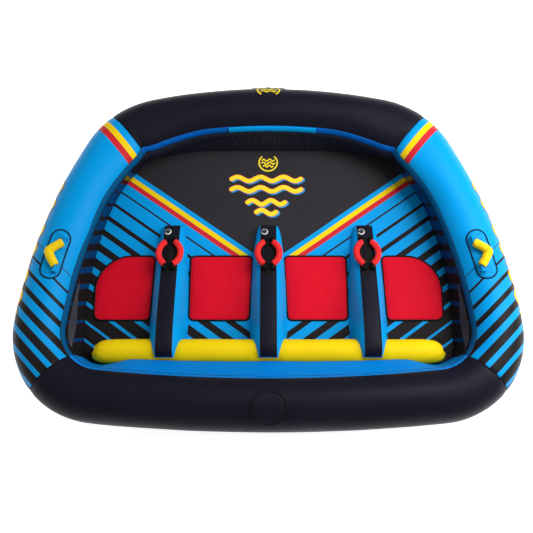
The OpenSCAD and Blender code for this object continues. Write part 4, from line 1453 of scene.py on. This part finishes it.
def outlined(name, line, half_width, mapping):
    """A yellow stroke with a red edge and a blue shadow beside it."""
    shadow = line + (0.0075, -0.0055)
    return [stroke(name + "_shadow", shadow, half_width + 0.0028, PRINT_BLUE, 0.0003, mapping),
            stroke(name + "_edge", line, half_width + 0.0026, PRINT_RED, 0.0006, mapping),
            stroke(name + "_face", line, half_width, PRINT_YELLOW, 0.0009, mapping)]


motif = []
for k, (x0, x1, y, waves) in enumerate(((-0.205, 0.180, 0.490, 3), (-0.205, 0.180, 0.427, 3),
                                        (-0.115, 0.090, 0.348, 2), (-0.066, 0.041, 0.290, 1))):
    motif += outlined(f"wave_{k}", wave_line(x0, x1, y, 0.0125, waves), 0.0125, on_floor)


def ring_mark(name, centre, radius, mapping, width=0.0042):
    """A thin ring with an open upper side round three small waves, each two waves long."""
    a = np.linspace(math.radians(-225), math.radians(45), 70)
    ring = np.stack([centre[0] + radius * np.cos(a), centre[1] + radius * np.sin(a)], -1)
    marks = [stroke(name + "_ring", ring, width, PRINT_YELLOW, 0.0006, mapping)]
    for k, (reach, y) in enumerate(((0.66, 0.30), (0.72, -0.06), (0.50, -0.42))):
        line = wave_line(centre[0] - radius * reach, centre[0] + radius * reach, centre[1] + radius * y,
                         radius * 0.12, 2)
        marks.append(stroke(f"{name}_wave_{k}", line, width * 0.95, PRINT_YELLOW, 0.0006, mapping))
    return marks


motif += ring_mark("floor_mark", (-0.002, 0.590), 0.051, on_floor)
attach("cover_yellow", *motif)


def tube_print(s0, lean0, s_sign):
    """Lays flat points on the ring: x outward round the tube, y along it."""
    def mapping(points, lift):
        s = s0 + s_sign * points[..., 1]
        lean = lean0 + np.degrees(points[..., 0] / TUBE_R)
        angle = np.mod(np.radians(90 - lean), 2 * math.pi)
        return on_tube(s, lean, taut(s, angle) + PRINT_LIFT + lift)
    return mapping


nose_print = tube_print(HALF_LEN, 38.0, 1)
marks = ring_mark("nose_mark", (0.0, 0.0), 0.058, lambda p, lift: nose_print(p[..., ::-1] * (-1, 1), lift))
for side, word in ((1, "right"), (-1, "left")):
    s0 = float(distance_at(SIDE_HEADING if side > 0 else 360 - SIDE_HEADING))
    out = tube_print(s0, 59.0, side)
    for k, (low, high) in enumerate(((-0.30, -0.10), (-0.06, 0.14), (0.18, 0.38))):
        line = np.stack([0.020 * np.sin(np.linspace(0, 4 * math.pi, 80)), np.linspace(low, high, 80)], -1)
        marks += [stroke(f"side_wave_{word}_{k}_edge", line, 0.0165, PRINT_RED, 0.0003, out),
                  stroke(f"side_wave_{word}_{k}_face", line, 0.0135, PRINT_YELLOW, 0.0006, out)]
attach("cover_yellow", *marks)

# ---- Stage, lights and camera ----
scene = bpy.context.scene


def paper():
    nodes = Nodes("white_paper")
    nodes.shader.inputs["Base Color"].default_value = (0.90, 0.90, 0.90, 1)
    nodes.shader.inputs["Roughness"].default_value = 0.9
    nodes.shader.inputs["Specular IOR Level"].default_value = 0.1
    nodes.shader.inputs["Emission Color"].default_value = (1, 1, 1, 1)
    nodes.shader.inputs["Emission Strength"].default_value = 0.78
    return nodes.material


STAGE_HALF = 9.0
stage_floor = new_mesh("stage_floor", rectangle(STAGE_HALF, STAGE_HALF, -0.002)[:4], [[0, 1, 2, 3]], paper())

world = bpy.data.worlds.new("studio")
scene.world = world
world.use_nodes = True
sky = world.node_tree.nodes["Background"]
sky.inputs["Color"].default_value = (1, 1, 1, 1)
sky.inputs["Strength"].default_value = 0.38


def softbox(name, location, target, size_x, size_y, power):
    """A soft rectangular light aimed at a target."""
    data = bpy.data.lights.new(name, "AREA")
    data.shape = "RECTANGLE"
    data.size, data.size_y = size_x, size_y
    data.energy = power
    light = bpy.data.objects.new(name, data)
    light.location = location
    light.rotation_euler = (Vector(target) - Vector(location)).to_track_quat("-Z", "Y").to_euler()
    scene.collection.objects.link(light)


softbox("overhead", (1.7, 0.8, 3.3), (0.35, 0.05, 0.2), 2.0, 1.5, 88)
softbox("left_box", (-3.2, 0.2, 2.4), (-0.4, 0, 0.2), 2.4, 1.6, 9)
softbox("right_box", (3.2, 0.2, 2.4), (0.4, 0, 0.2), 2.4, 1.6, 68)

camera = bpy.data.cameras.new("camera")
camera.sensor_width = 36.0
camera.lens = 44.915
camera.shift_x = -0.00375
eye = bpy.data.objects.new("camera", camera)
eye.location = (0.0, -1.1207, 3.4836)
eye.rotation_euler = (math.radians(18), 0, 0)
scene.collection.objects.link(eye)
scene.camera = eye
scene.view_settings.view_transform = "Standard"
scene.view_settings.look = "None"

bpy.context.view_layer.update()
